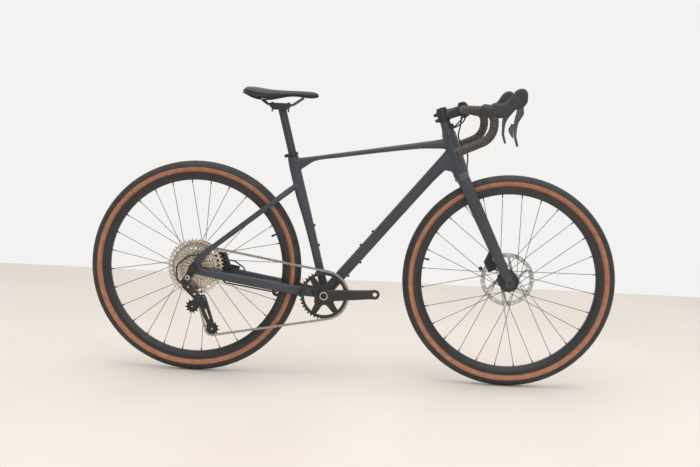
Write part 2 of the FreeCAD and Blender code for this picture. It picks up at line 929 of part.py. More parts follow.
def rail_points(side):
    """A rail lies flat in the cradle and rises to the shell on both sides of it."""
    rear_x, rear_z = rail_end(rail_rear_share)
    front_x, front_z = rail_end(rail_front_share)
    flat_rear = post_crest.x - cradle_length * cradle_back_share - rail_bend_radius / 2
    flat_front = flat_rear + cradle_length + rail_bend_radius
    level = rail_height()
    y = side * rail_spread / 2
    return [
        Vec(rear_x, y, rear_z), Vec(flat_rear, y, level),
        Vec(flat_front, y, level), Vec(front_x, y, front_z),
    ]


def saddle_rails():
    return [hose(rail_points(side), [rail_bend_radius] * 2, rail_radius) for side in (right, left)]


def cradle_box(low, high):
    corner = Vec(post_crest.x - cradle_length * cradle_back_share, -cradle_width / 2, low)
    return Part.makeBox(cradle_length, cradle_width, high - low, corner)


def cradle_foot(level):
    """The lower half of the cradle, drawn in toward the post below the rails."""
    rear = post_crest.x - cradle_length * cradle_back_share
    front = rear + cradle_length
    waist = level - cradle_height / 2
    foot = level - cradle_height * 1.4
    outline = [
        (rear, level), (front, level), (front, waist), (front - cradle_taper, foot),
        (rear + cradle_taper, foot), (rear, waist),
    ]
    corners = [Vec(x, -cradle_width / 2, z) for x, z in outline]
    return Part.Face(Part.makePolygon(corners + corners[:1])).extrude(across * cradle_width)


def saddle_cradle():
    level = rail_height()
    grooves = [
        rod(rail_radius + running_gap, Vec(-wheelbase, y, level), Vec(wheelbase, y, level))
        for y in (-rail_spread / 2, rail_spread / 2)
    ]
    socket = rod(post_radius, collar_crest, post_head())
    lower = cradle_foot(level).cut(grooves + [socket])
    upper = cradle_box(level, level + cradle_height / 2).cut(grooves)
    holes = []
    bolts = []
    middle = post_crest.x + cradle_length / 2 - cradle_length * cradle_back_share
    for x in (middle - cradle_bolt_spacing / 2, middle + cradle_bolt_spacing / 2):
        top = Vec(x, 0, level + cradle_height / 2)
        foot = Vec(x, 0, level - cradle_bolt_reach)
        holes.append(long_rod(cradle_bolt_radius + running_gap, top, foot))
        head_radius = cradle_bolt_radius * 1.6
        bolts.append(headed_bolt(cradle_bolt_radius, head_radius, top, foot, cradle_bolt_radius))
    return [solid_of(lower.cut(holes)), upper.cut(holes)] + bolts


def saddle_base():
    return post_crest.z + saddle_rise


def saddle_foot(share):
    """The foot height share of the saddle at a share along it."""
    for low, high in zip(saddle_shares, saddle_shares[1:]):
        if low[0] <= share <= high[0]:
            part = (share - low[0]) / (high[0] - low[0])
            return low[4] + (high[4] - low[4]) * part
    return saddle_shares[-1][4]


def saddle_sections(lowered):
    """Cross sections of the padded cover: a crown arc, two drawn-in side arcs and a flat foot."""
    wires = []
    for along, half, top, edge, foot in saddle_shares:
        x = post_crest.x - saddle_setback + along * saddle_length
        wide = half * saddle_width
        z_top = saddle_base() + top * saddle_thickness
        z_edge = saddle_base() + edge * saddle_thickness
        z_foot = saddle_base() + foot * saddle_thickness
        if lowered:
            wires.append(flat_section(x, wide * saddle_foot_share, z_foot - shell_thickness, z_foot))
            continue
        a = Vec(x, -wide, z_edge)
        b = Vec(x, wide, z_edge)
        c = Vec(x, wide * saddle_foot_share, z_foot)
        d = Vec(x, -wide * saddle_foot_share, z_foot)
        side = wide * (saddle_side_share + saddle_foot_share / 20)
        z_side = (z_edge + z_foot) / 2
        wires.append(Part.Wire([
            arc(a, Vec(x, 0, z_top), b), arc(b, Vec(x, side, z_side), c), line(c, d),
            arc(d, Vec(x, -side, z_side), a),
        ]))
    return wires


def flat_section(x, wide, low, high):
    corners = [Vec(x, -wide, low), Vec(x, wide, low), Vec(x, wide, high), Vec(x, -wide, high)]
    return Part.makePolygon(corners + corners[:1])


def saddle_cover():
    return loft(saddle_sections(False))


def saddle_shell():
    return loft(saddle_sections(True)).cut(saddle_rails())


def fork_steerer():
    foot = steerer_lower_radius
    top = crown_gap * 2 + head_tube_length + cover_height + stem_clamp_height - cap_height / 2
    low = bearing_height + crown_gap * 2
    high = low + head_tube_length / 3
    corners = [
        (foot, 0), (foot, low), (steerer_upper_radius, high), (steerer_upper_radius, top),
        (steerer_upper_radius - steerer_wall, top), (steerer_upper_radius - steerer_wall, high),
        (foot - steerer_wall, low), (foot - steerer_wall, 0),
    ]
    return turned(corners, crown_race, steer_up)


def fork_crown():
    top = head_tube_lower_radius
    sections = [
        (0, top, top), (crown_height * 0.35, (top + crown_width / 2) / 2, crown_depth / 2),
        (crown_height, crown_width / 2, crown_depth * 0.42),
    ]
    return loft([oblong(crown_race - steer_up * s, across, steer_ahead, w, d) for s, w, d in sections])


def leg_middle():
    return (front_axle_spacing + leg_dropout_thickness) / 2


def leg_forms(side):
    along = unit(front_axle - crown_race)
    tall = along.cross(across)
    stations = [
        (
            moved(blend(crown_race, front_axle, share), side * out * leg_middle()), across, tall,
            w * leg_top_width / 2, d * leg_top_depth / 2,
        )
        for share, out, d, w in leg_shares
    ]
    return tube_forms(stations, leg_wall)


def leg_end(side):
    inner = side * front_axle_spacing / 2
    return cross_rod(leg_end_radius, front_axle, inner, inner + side * leg_dropout_thickness)


def fork_leg(side, crown):
    outside, inside = leg_forms(side)
    hole = cross_rod(axle_radius + running_gap, front_axle, -front_axle_spacing, front_axle_spacing)
    leg = solid_of(outside.cut(inside).cut(crown))
    return joined([leg.cut(leg_end(side)), leg_end(side)]).cut(hole)


def fork():
    crown = fork_crown()
    return [fork_steerer(), crown, fork_leg(right, crown), fork_leg(left, crown)]


def front_through_axle():
    outer = front_axle_spacing / 2 + leg_dropout_thickness
    shank = cross_rod(axle_radius, front_axle, -outer, outer)
    head = cross_rod(axle_head_radius, front_axle, outer, outer + axle_head_length)
    return joined([shank, head])


def headset_cover():
    bore = steerer_upper_radius + running_gap
    corners = [(bore, 0)]
    for radius_share, height_share in cover_shares:
        radius = cover_top_radius + (head_tube_upper_radius - cover_top_radius) * radius_share
        corners.append((radius, cover_height * height_share))
    corners.append((bore, cover_height))
    return turned(corners, cover_foot, steer_up)


def stem_block(half_ahead, half_up, half_across):
    wire = oblong(moved(bar_middle, -half_across), stem_ahead, stem_up, half_ahead, half_up)
    return Part.Face(wire).extrude(across * (half_across * 2))


def half_space(direction):
    """A block that covers one side of the plane through the bar, a gap away from it."""
    size = stem_length * 2
    base = bar_middle + direction * piece_gap - across * (size / 2) - stem_up * (size / 2)
    box = Part.makeBox(size, size, size)
    if direction.dot(stem_ahead) > 0:
        return placed(box, base, direction, across, direction.cross(across))
    return placed(box, base + across * size, direction, across * -1, direction.cross(across * -1))


def bar_bore():
    return cross_rod(bar_clamp_radius + running_gap, bar_middle, -bar_clamp_width, bar_clamp_width)


def stem():
    clamp = rod(stem_clamp_radius, cover_crest, cover_crest + steer_up * stem_clamp_height)
    neck_end = bar_middle - stem_ahead * (bar_clamp_radius * 0.6)
    neck_middle = (stem_middle + neck_end) / 2
    neck = loft([
        oblong(stem_middle, across, stem_up, stem_clamp_radius * 0.9, stem_clamp_height * 0.46),
        oblong(neck_middle, across, stem_up, stem_body_width * 0.48, stem_body_height / 2),
        oblong(neck_end, across, stem_up, stem_face_width / 2, stem_body_height / 2),
    ])
    flange = stem_block(stem_face_wall * 1.8, stem_face_height() / 2, stem_face_width / 2)
    flange = flange.common(half_space(stem_ahead * -1))
    clamp_crest = cover_crest + steer_up * stem_clamp_height
    bore = long_rod(steerer_upper_radius + running_gap, cover_crest, clamp_crest)
    neck = neck.common(half_space(stem_ahead * -1))
    lugs = [
        link_plate(foot, eye, stem_lug_radius, stem_lug_radius, -stem_lug_half, stem_lug_half)
        for foot, eye in stem_lugs()
    ]
    holes = [long_rod(stem_bolt_radius + running_gap, start, end) for start, end in face_bolt_lines()]
    holes += [long_rod(stem_bolt_radius + running_gap, start, end) for start, end in pinch_bolt_lines()]
    return joined([clamp, neck, flange] + lugs).cut([bore, bar_bore()] + holes)


def stem_face_height():
    return 2 * stem_face_bolt_rise + stem_bolt_radius * 5


def stem_faceplate():
    front = bar_clamp_radius + stem_face_wall
    plate = stem_block(front, stem_face_height() / 2, stem_face_width / 2).common(half_space(stem_ahead))
    holes = []
    for start, end in face_bolt_lines():
        holes.append(long_rod(stem_bolt_radius + running_gap, start, end))
        holes.append(rod(stem_bolt_radius * 1.6 + running_gap, start, start + stem_ahead * front))
    return plate.cut([bar_bore()] + holes)


def face_bolt_lines():
    """Start at the front face and end in the stem of each faceplate bolt."""
    lines = []
    for rise in (-stem_face_bolt_rise, stem_face_bolt_rise):
        for side in (-stem_bolt_spread, stem_bolt_spread):
            middle = moved(bar_middle + stem_up * rise, side)
            front = middle + stem_ahead * stem_face_wall * 2.2
            lines.append((front, middle - stem_ahead * stem_face_wall * 1.4))
    return lines


def stem_lugs():
    """Middle of the clamp and eye of each lug behind it."""
    feet = [cover_crest + steer_up * (stem_clamp_height * share) for share in stem_lug_shares]
    return [(foot, foot - steer_ahead * (stem_clamp_radius + stem_lug_reach)) for foot in feet]


def pinch_bolt_lines():
    """The two bolts behind the steerer that close the clamp."""
    return [(moved(eye, -stem_lug_half), moved(eye, stem_lug_half)) for foot, eye in stem_lugs()]


def stem_cap():
    foot = cover_crest + steer_up * stem_clamp_height
    cap = rod(stem_clamp_radius * 0.86, foot, foot + steer_up * cap_height)
    return cap.cut(long_rod(stem_bolt_radius + running_gap, foot, foot + steer_up * cap_height))


def steering_bolts():
    bolts = []
    for start, end in face_bolt_lines():
        bolts.append(headed_bolt(stem_bolt_radius, stem_bolt_radius * 1.6, start, end, stem_bolt_radius))
    for start, end in pinch_bolt_lines():
        bolts.append(headed_bolt(stem_bolt_radius, stem_bolt_radius * 1.7, start, end, stem_bolt_radius))
    foot = cover_crest + steer_up * stem_clamp_height
    top = foot + steer_up * cap_height
    bolts.append(headed_bolt(stem_bolt_radius, stem_bolt_radius * 1.7, top, foot, stem_bolt_radius / 2))
    crown = fork_crown()
    for out in (steer_ahead, steer_ahead * -1):
        start = surface_point(crown_race - steer_up * (crown_height * 0.7), out, crown, crown_width)
        head = rod(fork_bolt_radius, start - out * fork_bolt_height, start + out * fork_bolt_height)
        bolts.append(solid_of(head.cut(crown)))
    return bolts


def bar_points(side):
    """Corner points of one half of the handlebar, from its middle to its end."""
    return [
        bar_middle,
        bar_middle + Vec(0, side * bar_top_half, 0),
        bar_middle + Vec(bar_reach, side * bar_hood_half, 0),
        bar_middle + Vec(bar_reach, side * bar_drop_half, -bar_front_drop),
        bar_middle + Vec(-bar_end_setback, side * bar_end_half, -bar_drop),
    ]


def bar_path(side):
    return bent_path(bar_points(side), [bar_corner_radius, bar_reach_radius, bar_drop_radius])


def bar_form(side, radius):
    path = bar_path(side)
    return swept(path_edges(path, 0, path_length(path)), radius)


def handlebar():
    bulge = cross_rod(bar_clamp_radius, bar_middle, -bar_clamp_width / 2, bar_clamp_width / 2)
    outside = joined([bar_form(right, bar_radius), bar_form(left, bar_radius), bulge])
    inner = bar_radius - bar_wall
    core = cross_rod(inner, bar_middle, -bar_clamp_width / 2, bar_clamp_width / 2)
    return outside.cut(joined([bar_form(right, inner), bar_form(left, inner), core]))


def sleeve_span(path):
    """Where the hood sleeve starts and ends along a half of the bar."""
    start = sum(s[3] for s in path[:3]) - hood_sleeve * 0.25
    return start, start + hood_sleeve


def bar_tape():
    pieces = []
    outer = bar_radius + tape_thickness
    for side in (right, left):
        path = bar_path(side)
        hood_start, hood_end = sleeve_span(path)
        end = path_length(path)
        core = swept(path_edges(path, 0, end), bar_radius + running_gap)
        for begin, finish in ((tape_start, hood_start), (hood_end, end)):
            pieces.append(swept(path_edges(path, begin, finish), outer).cut(core))
    return pieces


def bar_plugs():
    plugs = []
    for side in (right, left):
        points = bar_points(side)
        end = points[-1]
        along = unit(points[-1] - points[-2])
        face = rod(bar_radius + tape_thickness, end, end + along * plug_length)
        shank = rod(bar_radius - bar_wall - running_gap, end - along * plug_length * 3, end)
        plugs.append(joined([face, shank]))
    return plugs


def hood_origin(side):
    return bar_middle + Vec(bar_reach - bar_radius, side * bar_hood_half, 0)


def lever_pivot(side):
    return hood_origin(side) + Vec(lever_pivot_ahead, 0, lever_pivot_rise)


def lever_points(side, turn):
    """Middle and radius of each station of a lever blade, turned toward the bar."""
    pivot = lever_pivot(side)
    angle = math.radians(turn)
    points = []
    for down, forward, radius in lever_shares:
        x = forward * lever_length
        z = -down * lever_length
        place = Vec(x * math.cos(angle) + z * math.sin(angle), 0, z * math.cos(angle) - x * math.sin(angle))
        points.append((pivot + place, radius * lever_length))
    return points


def lever_blade(side, turn, margin, half):
    plates = []
    stations = lever_points(side, turn)
    for (a, radius_a), (b, radius_b) in zip(stations, stations[1:]):
        plates.append(link_plate(a, b, radius_a + margin, radius_b + margin, a.y - half, a.y + half))
    return joined(plates)


def lever_body(side):
    origin = hood_origin(side)
    sections = []
    for along, middle, h, w in hood_shares:
        centre = origin + Vec(along * hood_length, 0, middle * hood_height)
        sections.append(oblong(centre, across, upward, w * hood_width, h * hood_height))
    path = bar_path(side)
    start, end = sleeve_span(path)
    sleeve = swept(path_edges(path, start, end), bar_radius + tape_thickness * 1.5)
    form = joined([loft(sections), sleeve]).cut(bar_form(side, bar_radius + running_gap))
    form = solid_of(form.cut(bar_tape()))
    half = lever_thickness / 2 + piece_gap
    for turn in (0, lever_travel / 2, lever_travel):
        form = form.cut(lever_blade(side, turn, piece_gap * 2, half))
    pivot = lever_pivot(side)
    pin = cross_rod(lever_pin_radius, pivot, pivot.y - hood_width * 0.4, pivot.y + hood_width * 0.4)
    return solid_of(joined([solid_of(form), pin]))


def brake_lever(side):
    blade = lever_blade(side, 0, 0, lever_thickness / 2)
    pivot = lever_pivot(side)
    low = pivot.y - lever_thickness
    high = pivot.y + lever_thickness
    bore = cross_rod(lever_pin_radius + running_gap, pivot, low, high)
    if side == right:
        start, end = paddle_stud()
        blade = joined([blade, rod(paddle_stud_radius, start, end)])
    return blade.cut(bore)


def paddle_place():
    """Middle and radius of the lever where the stud of the paddle stands."""
    (upper, wide), (lower, slim) = lever_points(right, 0)[2:4]
    return blend(upper, lower, paddle_stud_share), wide + (slim - wide) * paddle_stud_share


def paddle_stud():
    point, radius = paddle_place()
    return point, point - ahead * (radius + paddle_stud_radius * 5)


def shift_paddle():
    """An eye on the stud and a three-cornered plate behind the lower half of the lever."""
    start, end = paddle_stud()
    point, radius = paddle_place()
    eye_start = point - ahead * (radius + piece_gap)
    eye = rod(paddle_stud_radius * 2, eye_start, end)
    low = point.y - paddle_thickness / 2
    corners = [eye_start + Vec(x, 0, z) * paddle_length for x, z in paddle_shares]
    corners = [moved(Vec(c.x, 0, c.z), low) for c in corners]
    plate = Part.Face(Part.makePolygon(corners + corners[:1])).extrude(across * paddle_thickness)
    return joined([eye, plate]).cut(long_rod(paddle_stud_radius + running_gap, start, end))


def spoke_ends(count_side, flange_radius, flange_side, index, head, valve_angle):
    """Hub end and rim end of a spoke, from its number on one side and clear of the valve."""
    step = 2 * math.pi / (spoke_count / 2)
    rim_angle = math.radians(valve_angle) + step * (index + (0.75 if count_side == left else 0.25))
    hub_angle = rim_angle + spoke_cross * step * (1 if index % 2 else -1)
    radius = flange_radius - flange_margin
    hub = Vec(radius * math.cos(hub_angle), flange_side + head, radius * math.sin(hub_angle))
    out = rim_inner_radius + rim_wall
    rim = Vec(out * math.cos(rim_angle), count_side * rim_nose_width / 8, out * math.sin(rim_angle))
    return hub, rim


def wheel_spokes(axle, flange_radius, flange_sides, valve_angle):
    """Hub end, rim end and head direction of every spoke of a wheel."""
    lines = []
    for side, flange_side in zip((right, left), flange_sides):
        for index in range(spoke_count // 2):
            out = 1 if index % 2 else -1
            head = out * spoke_head_stagger
            hub, rim = spoke_ends(side, flange_radius, flange_side, index, head, valve_angle)
            lines.append((axle + hub, axle + rim, out))
    return lines


def head_end(hub, out):
    """Where a spoke ends on the far side of its flange."""
    return moved(hub, -out * (spoke_head_stagger + flange_thickness / 2 + spoke_radius))


def spokes(lines):
    pieces = []
    for hub, rim, out in lines:
        back = unit(hub - rim)
        shank = rod(spoke_radius, hub, rim)
        head = rod(spoke_radius, hub, head_end(hub, out))
        nipple = rod(nipple_radius, rim + back * nipple_length, rim)
        elbow = Part.makeSphere(spoke_radius, hub)
        pieces.append(joined([shank, head, nipple, elbow]))
    return pieces


def rim_form(axle):
    half = rim_width / 2
    shoulder = (rim_outer_radius + rim_inner_radius) / 2
    bed = rim_outer_radius - rim_bed_depth
    nose = rim_nose_width / 2
    inner = half - rim_wall
    corners = [
        (rim_outer_radius, half), (shoulder, half), (rim_inner_radius, nose), (rim_inner_radius, -nose),
        (shoulder, -half), (rim_outer_radius, -half), (rim_outer_radius, -inner), (bed, -inner),
        (bed, inner),
        (rim_outer_radius, inner),
    ]
    hollow = [
        (bed - rim_wall, inner), (shoulder, inner), (rim_inner_radius + rim_wall, nose - rim_wall / 2),
        (rim_inner_radius + rim_wall, rim_wall / 2 - nose), (shoulder, -inner), (bed - rim_wall, -inner),
    ]
    return turned(corners, axle, across).cut(turned(hollow, axle, across))


def wheel_direction(angle):
    turn = math.radians(angle)
    return Vec(math.cos(turn), 0, math.sin(turn))


def rim(axle, lines, angle):
    hole_radius = nipple_radius + running_gap
    holes = [long_rod(hole_radius, b + unit(a - b) * nipple_length, b) for a, b, out in lines]
    out = wheel_direction(angle)
    hole_foot = axle + out * (rim_inner_radius / 2)
    valve_hole = rod(valve_radius + running_gap, hole_foot, axle + out * rim_outer_radius)
    return solid_of(rim_form(axle).cut(holes + [valve_hole]))


def valve(axle, angle):
    out = wheel_direction(angle)
    bed = rim_outer_radius - rim_bed_depth
    tip = rim_inner_radius - valve_length
    stem_part = rod(valve_radius, axle + out * tip, axle + out * bed)
    foot = rod(valve_cap_radius, axle + out * bed, axle + out * (bed + rim_wall))
    cap = rod(valve_cap_radius, axle + out * tip, axle + out * (tip + valve_length * 0.55))
    foot_seat = rod(valve_radius * 3, axle + out * bed, axle + out * rim_outer_radius)
    foot_seat = foot_seat.common(rim_form(axle))
    return solid_of(joined([stem_part, foot, cap]).cut(foot_seat))


def rim_sleeve(axle, angle, moment):
    """The joint sleeve inside the rim opposite the valve, as long as it takes to balance the wheel."""
    radius = rim_inner_radius + rim_wall * 1.5
    high = rim_outer_radius - rim_bed_depth - rim_wall * 1.3
    half = rim_nose_width / 2 - rim_wall
    face_area = (high - radius) * half * 2
    middle = (high + radius) / 2
    length = moment / (face_area * middle)
    out = wheel_direction(angle + 180)
    side = across.cross(out)
    start = axle + out * radius - side * (length / 2) - across * half
    block = Part.makeBox(length, half * 2, high - radius)
    return placed(block, start, side, across, out)


def tyre(axle):
    bead = rim_width / 2 - rim_wall - bead_gap
    foot = rim_outer_radius - rim_bed_depth + bead_gap
    lip = rim_outer_radius + bead_gap * 3
    widest = tyre_radius - tyre_width / 2
    half = tyre_width / 2

    def point(radius, side):
        return axle + upward * radius + across * side

    def bulge(start_side, end_side):
        rise = widest - lip
        reach = end_side - start_side
        bend = (rise * rise + reach * reach) / (2 * reach)
        turn = math.asin(rise / bend) / 2
        return (widest - bend * math.sin(turn), end_side - bend + bend * math.cos(turn))

    inner_bead = bead - tyre_wall
    inner_half = half - tyre_wall
    inner_top = tyre_radius - tread_thickness
    diagonal = math.sqrt(0.5)
    edges = []
    outer_mid = bulge(bead, half)
    inner_mid = bulge(inner_bead, inner_half)
    outer_quarter = (widest + half * diagonal, half * diagonal)
    inner_quarter = (widest + (inner_top - widest) * diagonal, inner_half * diagonal)
    for s in (1, -1):
        edges.append(line(point(foot, s * bead), point(lip, s * bead)))
        middle = point(outer_mid[0], s * outer_mid[1])
        edges.append(arc(point(lip, s * bead), middle, point(widest, s * half)))
        edges.append(arc(
            point(widest, s * half), point(outer_quarter[0], s * outer_quarter[1]), point(tyre_radius, 0)
        ))
        edges.append(line(point(foot, s * inner_bead), point(foot, s * bead)))
        edges.append(line(point(foot, s * inner_bead), point(lip, s * inner_bead)))
        edges.append(arc(
            point(lip, s * inner_bead), point(inner_mid[0], s * inner_mid[1]), point(widest, s * inner_half)
        ))
        edges.append(arc(
            point(widest, s * inner_half), point(inner_quarter[0], s * inner_quarter[1]),
            point(inner_top, 0),
        ))
    profile = Part.Face(Part.Wire(Part.__sortEdges__(edges)))
    return profile.revolve(axle, across, 360)


def rotor(axle, side, radius):
    """The brake disc: a drilled band on slanted arms round a hub ring."""
    low = side - rotor_thickness / 2
    high = side + rotor_thickness / 2
    band = cross_rod(radius, axle, low, high)
    band = band.cut(cross_rod(radius - rotor_band, axle, low - side, high + side))
    holes = []
    step = 2 * math.pi / rotor_holes
    for index in range(rotor_holes):
        row = (0.28, 0.5, 0.72)[index % 3]
        place = radius - rotor_band * row
        angle = step * index
        centre = axle + Vec(place * math.cos(angle), 0, place * math.sin(angle))
        holes.append(cross_rod(rotor_hole_radius, centre, low - side, high + side))
    band = band.cut(holes)
    hub = cross_rod(rotor_hub_radius, axle, low, high)
    arms = []
    for index in range(rotor_arms):
        angle = 2 * math.pi * index / rotor_arms
        root = axle + Vec(math.cos(angle), 0, math.sin(angle)) * (rotor_hub_radius - rotor_arm_radius)
        far = angle + math.pi / rotor_arms
        tip = axle + Vec(math.cos(far), 0, math.sin(far)) * (radius - rotor_band + rotor_arm_radius / 2)
        arms.append(link_plate(root, tip, rotor_arm_radius, rotor_arm_radius, low, high))
    core = cross_rod(rotor_bore(), axle, low - side, high + side)
    whole = joined([hub, band] + [a.cut(band_outside(axle, radius, low, high)) for a in arms])
    return whole.cut(core)


def band_outside(axle, radius, low, high):
    reach = high - low
    ring_low = low - reach
    ring_high = high + reach
    outer = cross_rod(radius * 2, axle, ring_low, ring_high)
    inner_radius = radius - rotor_band + running_gap
    return outer.cut(cross_rod(inner_radius, axle, ring_low - reach, ring_high + reach))


def rotor_bore():
    return lock_ring_radius - flange_thickness


def rotor_lock_ring(axle, side):
    low = side + rotor_thickness / 2
    ring = cross_rod(lock_ring_radius, axle, low, low + lock_ring_height)
    high = low + lock_ring_height * 2
    return ring.cut(cross_rod(lock_ring_radius * 0.62, axle, low - lock_ring_height, high))


def front_rotor_side():
    return front_axle_spacing / 2 - front_rotor_inset


def rear_rotor_side():
    return dropout_spacing / 2 - rear_rotor_inset


def hub_shell(axle, right_flange, left_flange, flange_radius, core, right_end, left_end, lines):
    """A turned hub shell with two flanges, the rotor seat on its left and a pocket for each bearing."""
    bore = hub_bearing_radius - bearing_shoulder
    mount = rotor_bore() - running_gap
    half = flange_thickness / 2
    corners = [
        (bore, right_end), (mount, right_end), (mount, right_flange - half * 3),
        (flange_radius, right_flange - half), (flange_radius, right_flange + half),
        (core, right_flange + half * 4), (core, left_flange - half * 4),
        (flange_radius, left_flange - half), (flange_radius, left_flange + half),
        (mount, left_flange + half * 3),
        (mount, left_end), (bore, left_end),
    ]
    holes = [long_rod(spoke_radius + running_gap, hub, head_end(hub, out)) for hub, _, out in lines]
    for end_side, inward in ((right_end, 1), (left_end, -1)):
        pocket_end = end_side + inward * hub_bearing_width
        outside = end_side - inward * hub_bearing_width
        holes.append(cross_rod(hub_bearing_radius + running_gap, axle, outside, pocket_end))
    return turned(corners, axle, across).cut(holes)


def axle_ring(axle, radius, side_a, side_b):
    """A ring that runs on a wheel axle."""
    bore = cross_rod(axle_radius + running_gap, axle, -dropout_spacing, dropout_spacing)
    return cross_rod(radius, axle, side_a, side_b).cut(bore)


def hub_bearings(axle, right_end, left_end):
    return [
        axle_ring(axle, hub_bearing_radius, right_end, right_end + hub_bearing_width),
        axle_ring(axle, hub_bearing_radius, left_end - hub_bearing_width, left_end),
    ]


def front_hub(lines):
    half = front_flange_spread / 2
    right_end = -(half + flange_thickness * 2.5)
    left_end = front_rotor_side() + rotor_thickness / 2
    face = front_axle_spacing / 2 - piece_gap
    shell = hub_shell(
        front_axle, -half, half, front_flange_radius, front_hub_core_radius, right_end, left_end, lines
    )
    caps = [
        axle_ring(front_axle, hub_end_radius, -face, right_end),
        axle_ring(front_axle, hub_end_radius, left_end, face),
    ]
    return [shell] + hub_bearings(front_axle, right_end, left_end) + caps


def rear_hub_right_end():
    return -(rear_right_flange + flange_thickness * 1.9)


def rear_hub(lines):
    left_end = rear_rotor_side() + rotor_thickness / 2
    shell = hub_shell(
        rear_axle, -rear_right_flange, rear_left_flange, rear_flange_radius, rear_hub_core_radius,
        rear_hub_right_end(), left_end, lines,
    )
    cap = axle_ring(rear_axle, hub_end_radius, left_end, dropout_spacing / 2 - piece_gap)
    return [shell] + hub_bearings(rear_axle, rear_hub_right_end(), left_end) + [cap]


def caliper_slot():
    return rotor_thickness / 2 + pad_gap + pad_thickness + pad_back_gap


def caliper_axes(axle):
    """Directions out along the leg or stay that carries a caliper, and square to it away from that."""
    foot = crown_race if axle == front_axle else bracket
    out = unit(foot - axle)
    return out, out.cross(across)


def caliper_block(axle, side_a, side_b, low, high, near, far):
    """A box set out along the leg or stay, between two sides."""
    out, deep = caliper_axes(axle)
    box = Part.makeBox(high - low, side_b - side_a, far - near)
    return placed(box, axle + out * low + deep * near + across * side_a, out, across, deep)


def caliper_body(axle, side, low, high, near, far):
    """A block that grows shorter away from the leg or stay."""
    out, deep = caliper_axes(axle)
    half = caliper_slot() + caliper_wall
    sections = []
    for place, share in ((near, 1), (far, caliper_far_share)):
        half_long = (high - low) * share / 2
        middle = axle + out * (low + half_long) + deep * place + across * side
        sections.append(oblong(middle, across, out, half, half_long))
    return loft(sections)


def disc_slot(axle, side, radius):
    return cross_rod(radius + caliper_clearance, axle, side - caliper_slot(), side + caliper_slot())


def front_caliper():
    """A two-piston caliper on the back of the left leg."""
    side = front_rotor_side()
    place = (front_caliper_low, front_caliper_high, front_caliper_near, front_caliper_far)
    body = caliper_body(front_axle, side, *place)
    inset = caliper_wall / 2
    foot = caliper_block(
        front_axle, side + caliper_slot(), side + caliper_slot() + caliper_wall, front_caliper_low + inset,
        front_caliper_high - inset, 0, front_caliper_near + inset,
    )
    leg, _ = leg_forms(left)
    whole = joined([body, foot]).cut(disc_slot(front_axle, side, front_rotor_radius))
    return solid_of(whole.cut(leg))


def rear_caliper():
    """A two-piston caliper on top of the left chain stay, with a tail along the stay."""
    side = rear_rotor_side()
    place = (rear_caliper_low, rear_caliper_high, rear_caliper_near, rear_caliper_far)
    body = caliper_body(rear_axle, side, *place)
    inset = caliper_wall / 2
    outer = side + caliper_slot() + caliper_wall
    foot = caliper_block(
        rear_axle, side + caliper_slot(), outer, rear_caliper_low + inset,
        rear_caliper_high + caliper_tail_reach, 0, caliper_tail_height + inset,
    )
    stay, _ = chain_stay_forms(left)
    whole = joined([body, foot]).cut(disc_slot(rear_axle, side, rear_rotor_radius))
    return solid_of(whole.cut(stay))


def brake_pad(axle, side, out_place, deep_place, outward):
    """A pad beside the rotor, on one side of it."""
    near = side + outward * (rotor_thickness / 2 + pad_gap)
    far = near + outward * pad_thickness
    return caliper_block(
        axle, min(near, far), max(near, far), out_place - pad_height / 2, out_place + pad_height / 2,
        deep_place - pad_length / 2, deep_place + pad_length / 2,
    )


def crank_direction(angle):
    turn = math.radians(crank_angle + angle)
    return Vec(math.cos(turn), 0, math.sin(turn))


def crank_arm(side, direction):
    """An arm that swings out from the bracket to the pedal."""
    pedal = bracket + direction * crank_length
    tall = direction.cross(across)
    root_side = side * (crank_root_outer - crank_root_thickness / 2)
    end_side = side * (crank_end_inner + crank_end_outer) / 2
    end_half = (crank_end_outer - crank_end_inner) / 2
    stations = []
    for share, swing, width_share in crank_arm_shares:
        centre = moved(blend(bracket, pedal, share), root_side + (end_side - root_side) * swing)
        half_width = crank_root_radius + (crank_end_radius - crank_root_radius) * swing
        half_thick = crank_root_thickness / 2 + (end_half - crank_root_thickness / 2) * swing
        stations.append(oblong(centre, across, tall, half_thick, half_width * width_share))
    root = cross_rod(crank_root_radius, bracket, side * crank_root_inner, side * crank_root_outer)
    end = cross_rod(crank_end_radius, pedal, side * crank_end_inner, side * crank_end_outer)
    hole = cross_rod(pedal_hole_radius, pedal, 0, side * crank_root_outer * 2)
    return joined([root, loft(stations), end]).cut(hole)


def spider_points():
    angles = (spider_angle, 180 - spider_angle, 180 + spider_angle, -spider_angle)
    return [bracket + crank_direction(angle) * ring_bolt_circle for angle in angles]


def spider_web(inner, outer):
    """Fill between the arms of the spider, hollowed by a round arch in each window."""
    taper = math.asin((spider_root_radius - spider_end_radius) / ring_bolt_circle)
    narrow = 90 - spider_angle
    arches = []
    for middle, half in ((90, narrow), (-90, narrow), (0, spider_angle), (180, spider_angle)):
        slope = math.sin(math.radians(half) + taper)
        radius = (spider_arch_inner * slope - spider_root_radius) / (1 - slope)
        centre = bracket + crank_direction(middle) * (spider_arch_inner + radius)
        arches.append(cross_rod(radius, centre, inner, outer))
    return cross_rod(spider_web_radius, bracket, inner, outer).cut(arches)


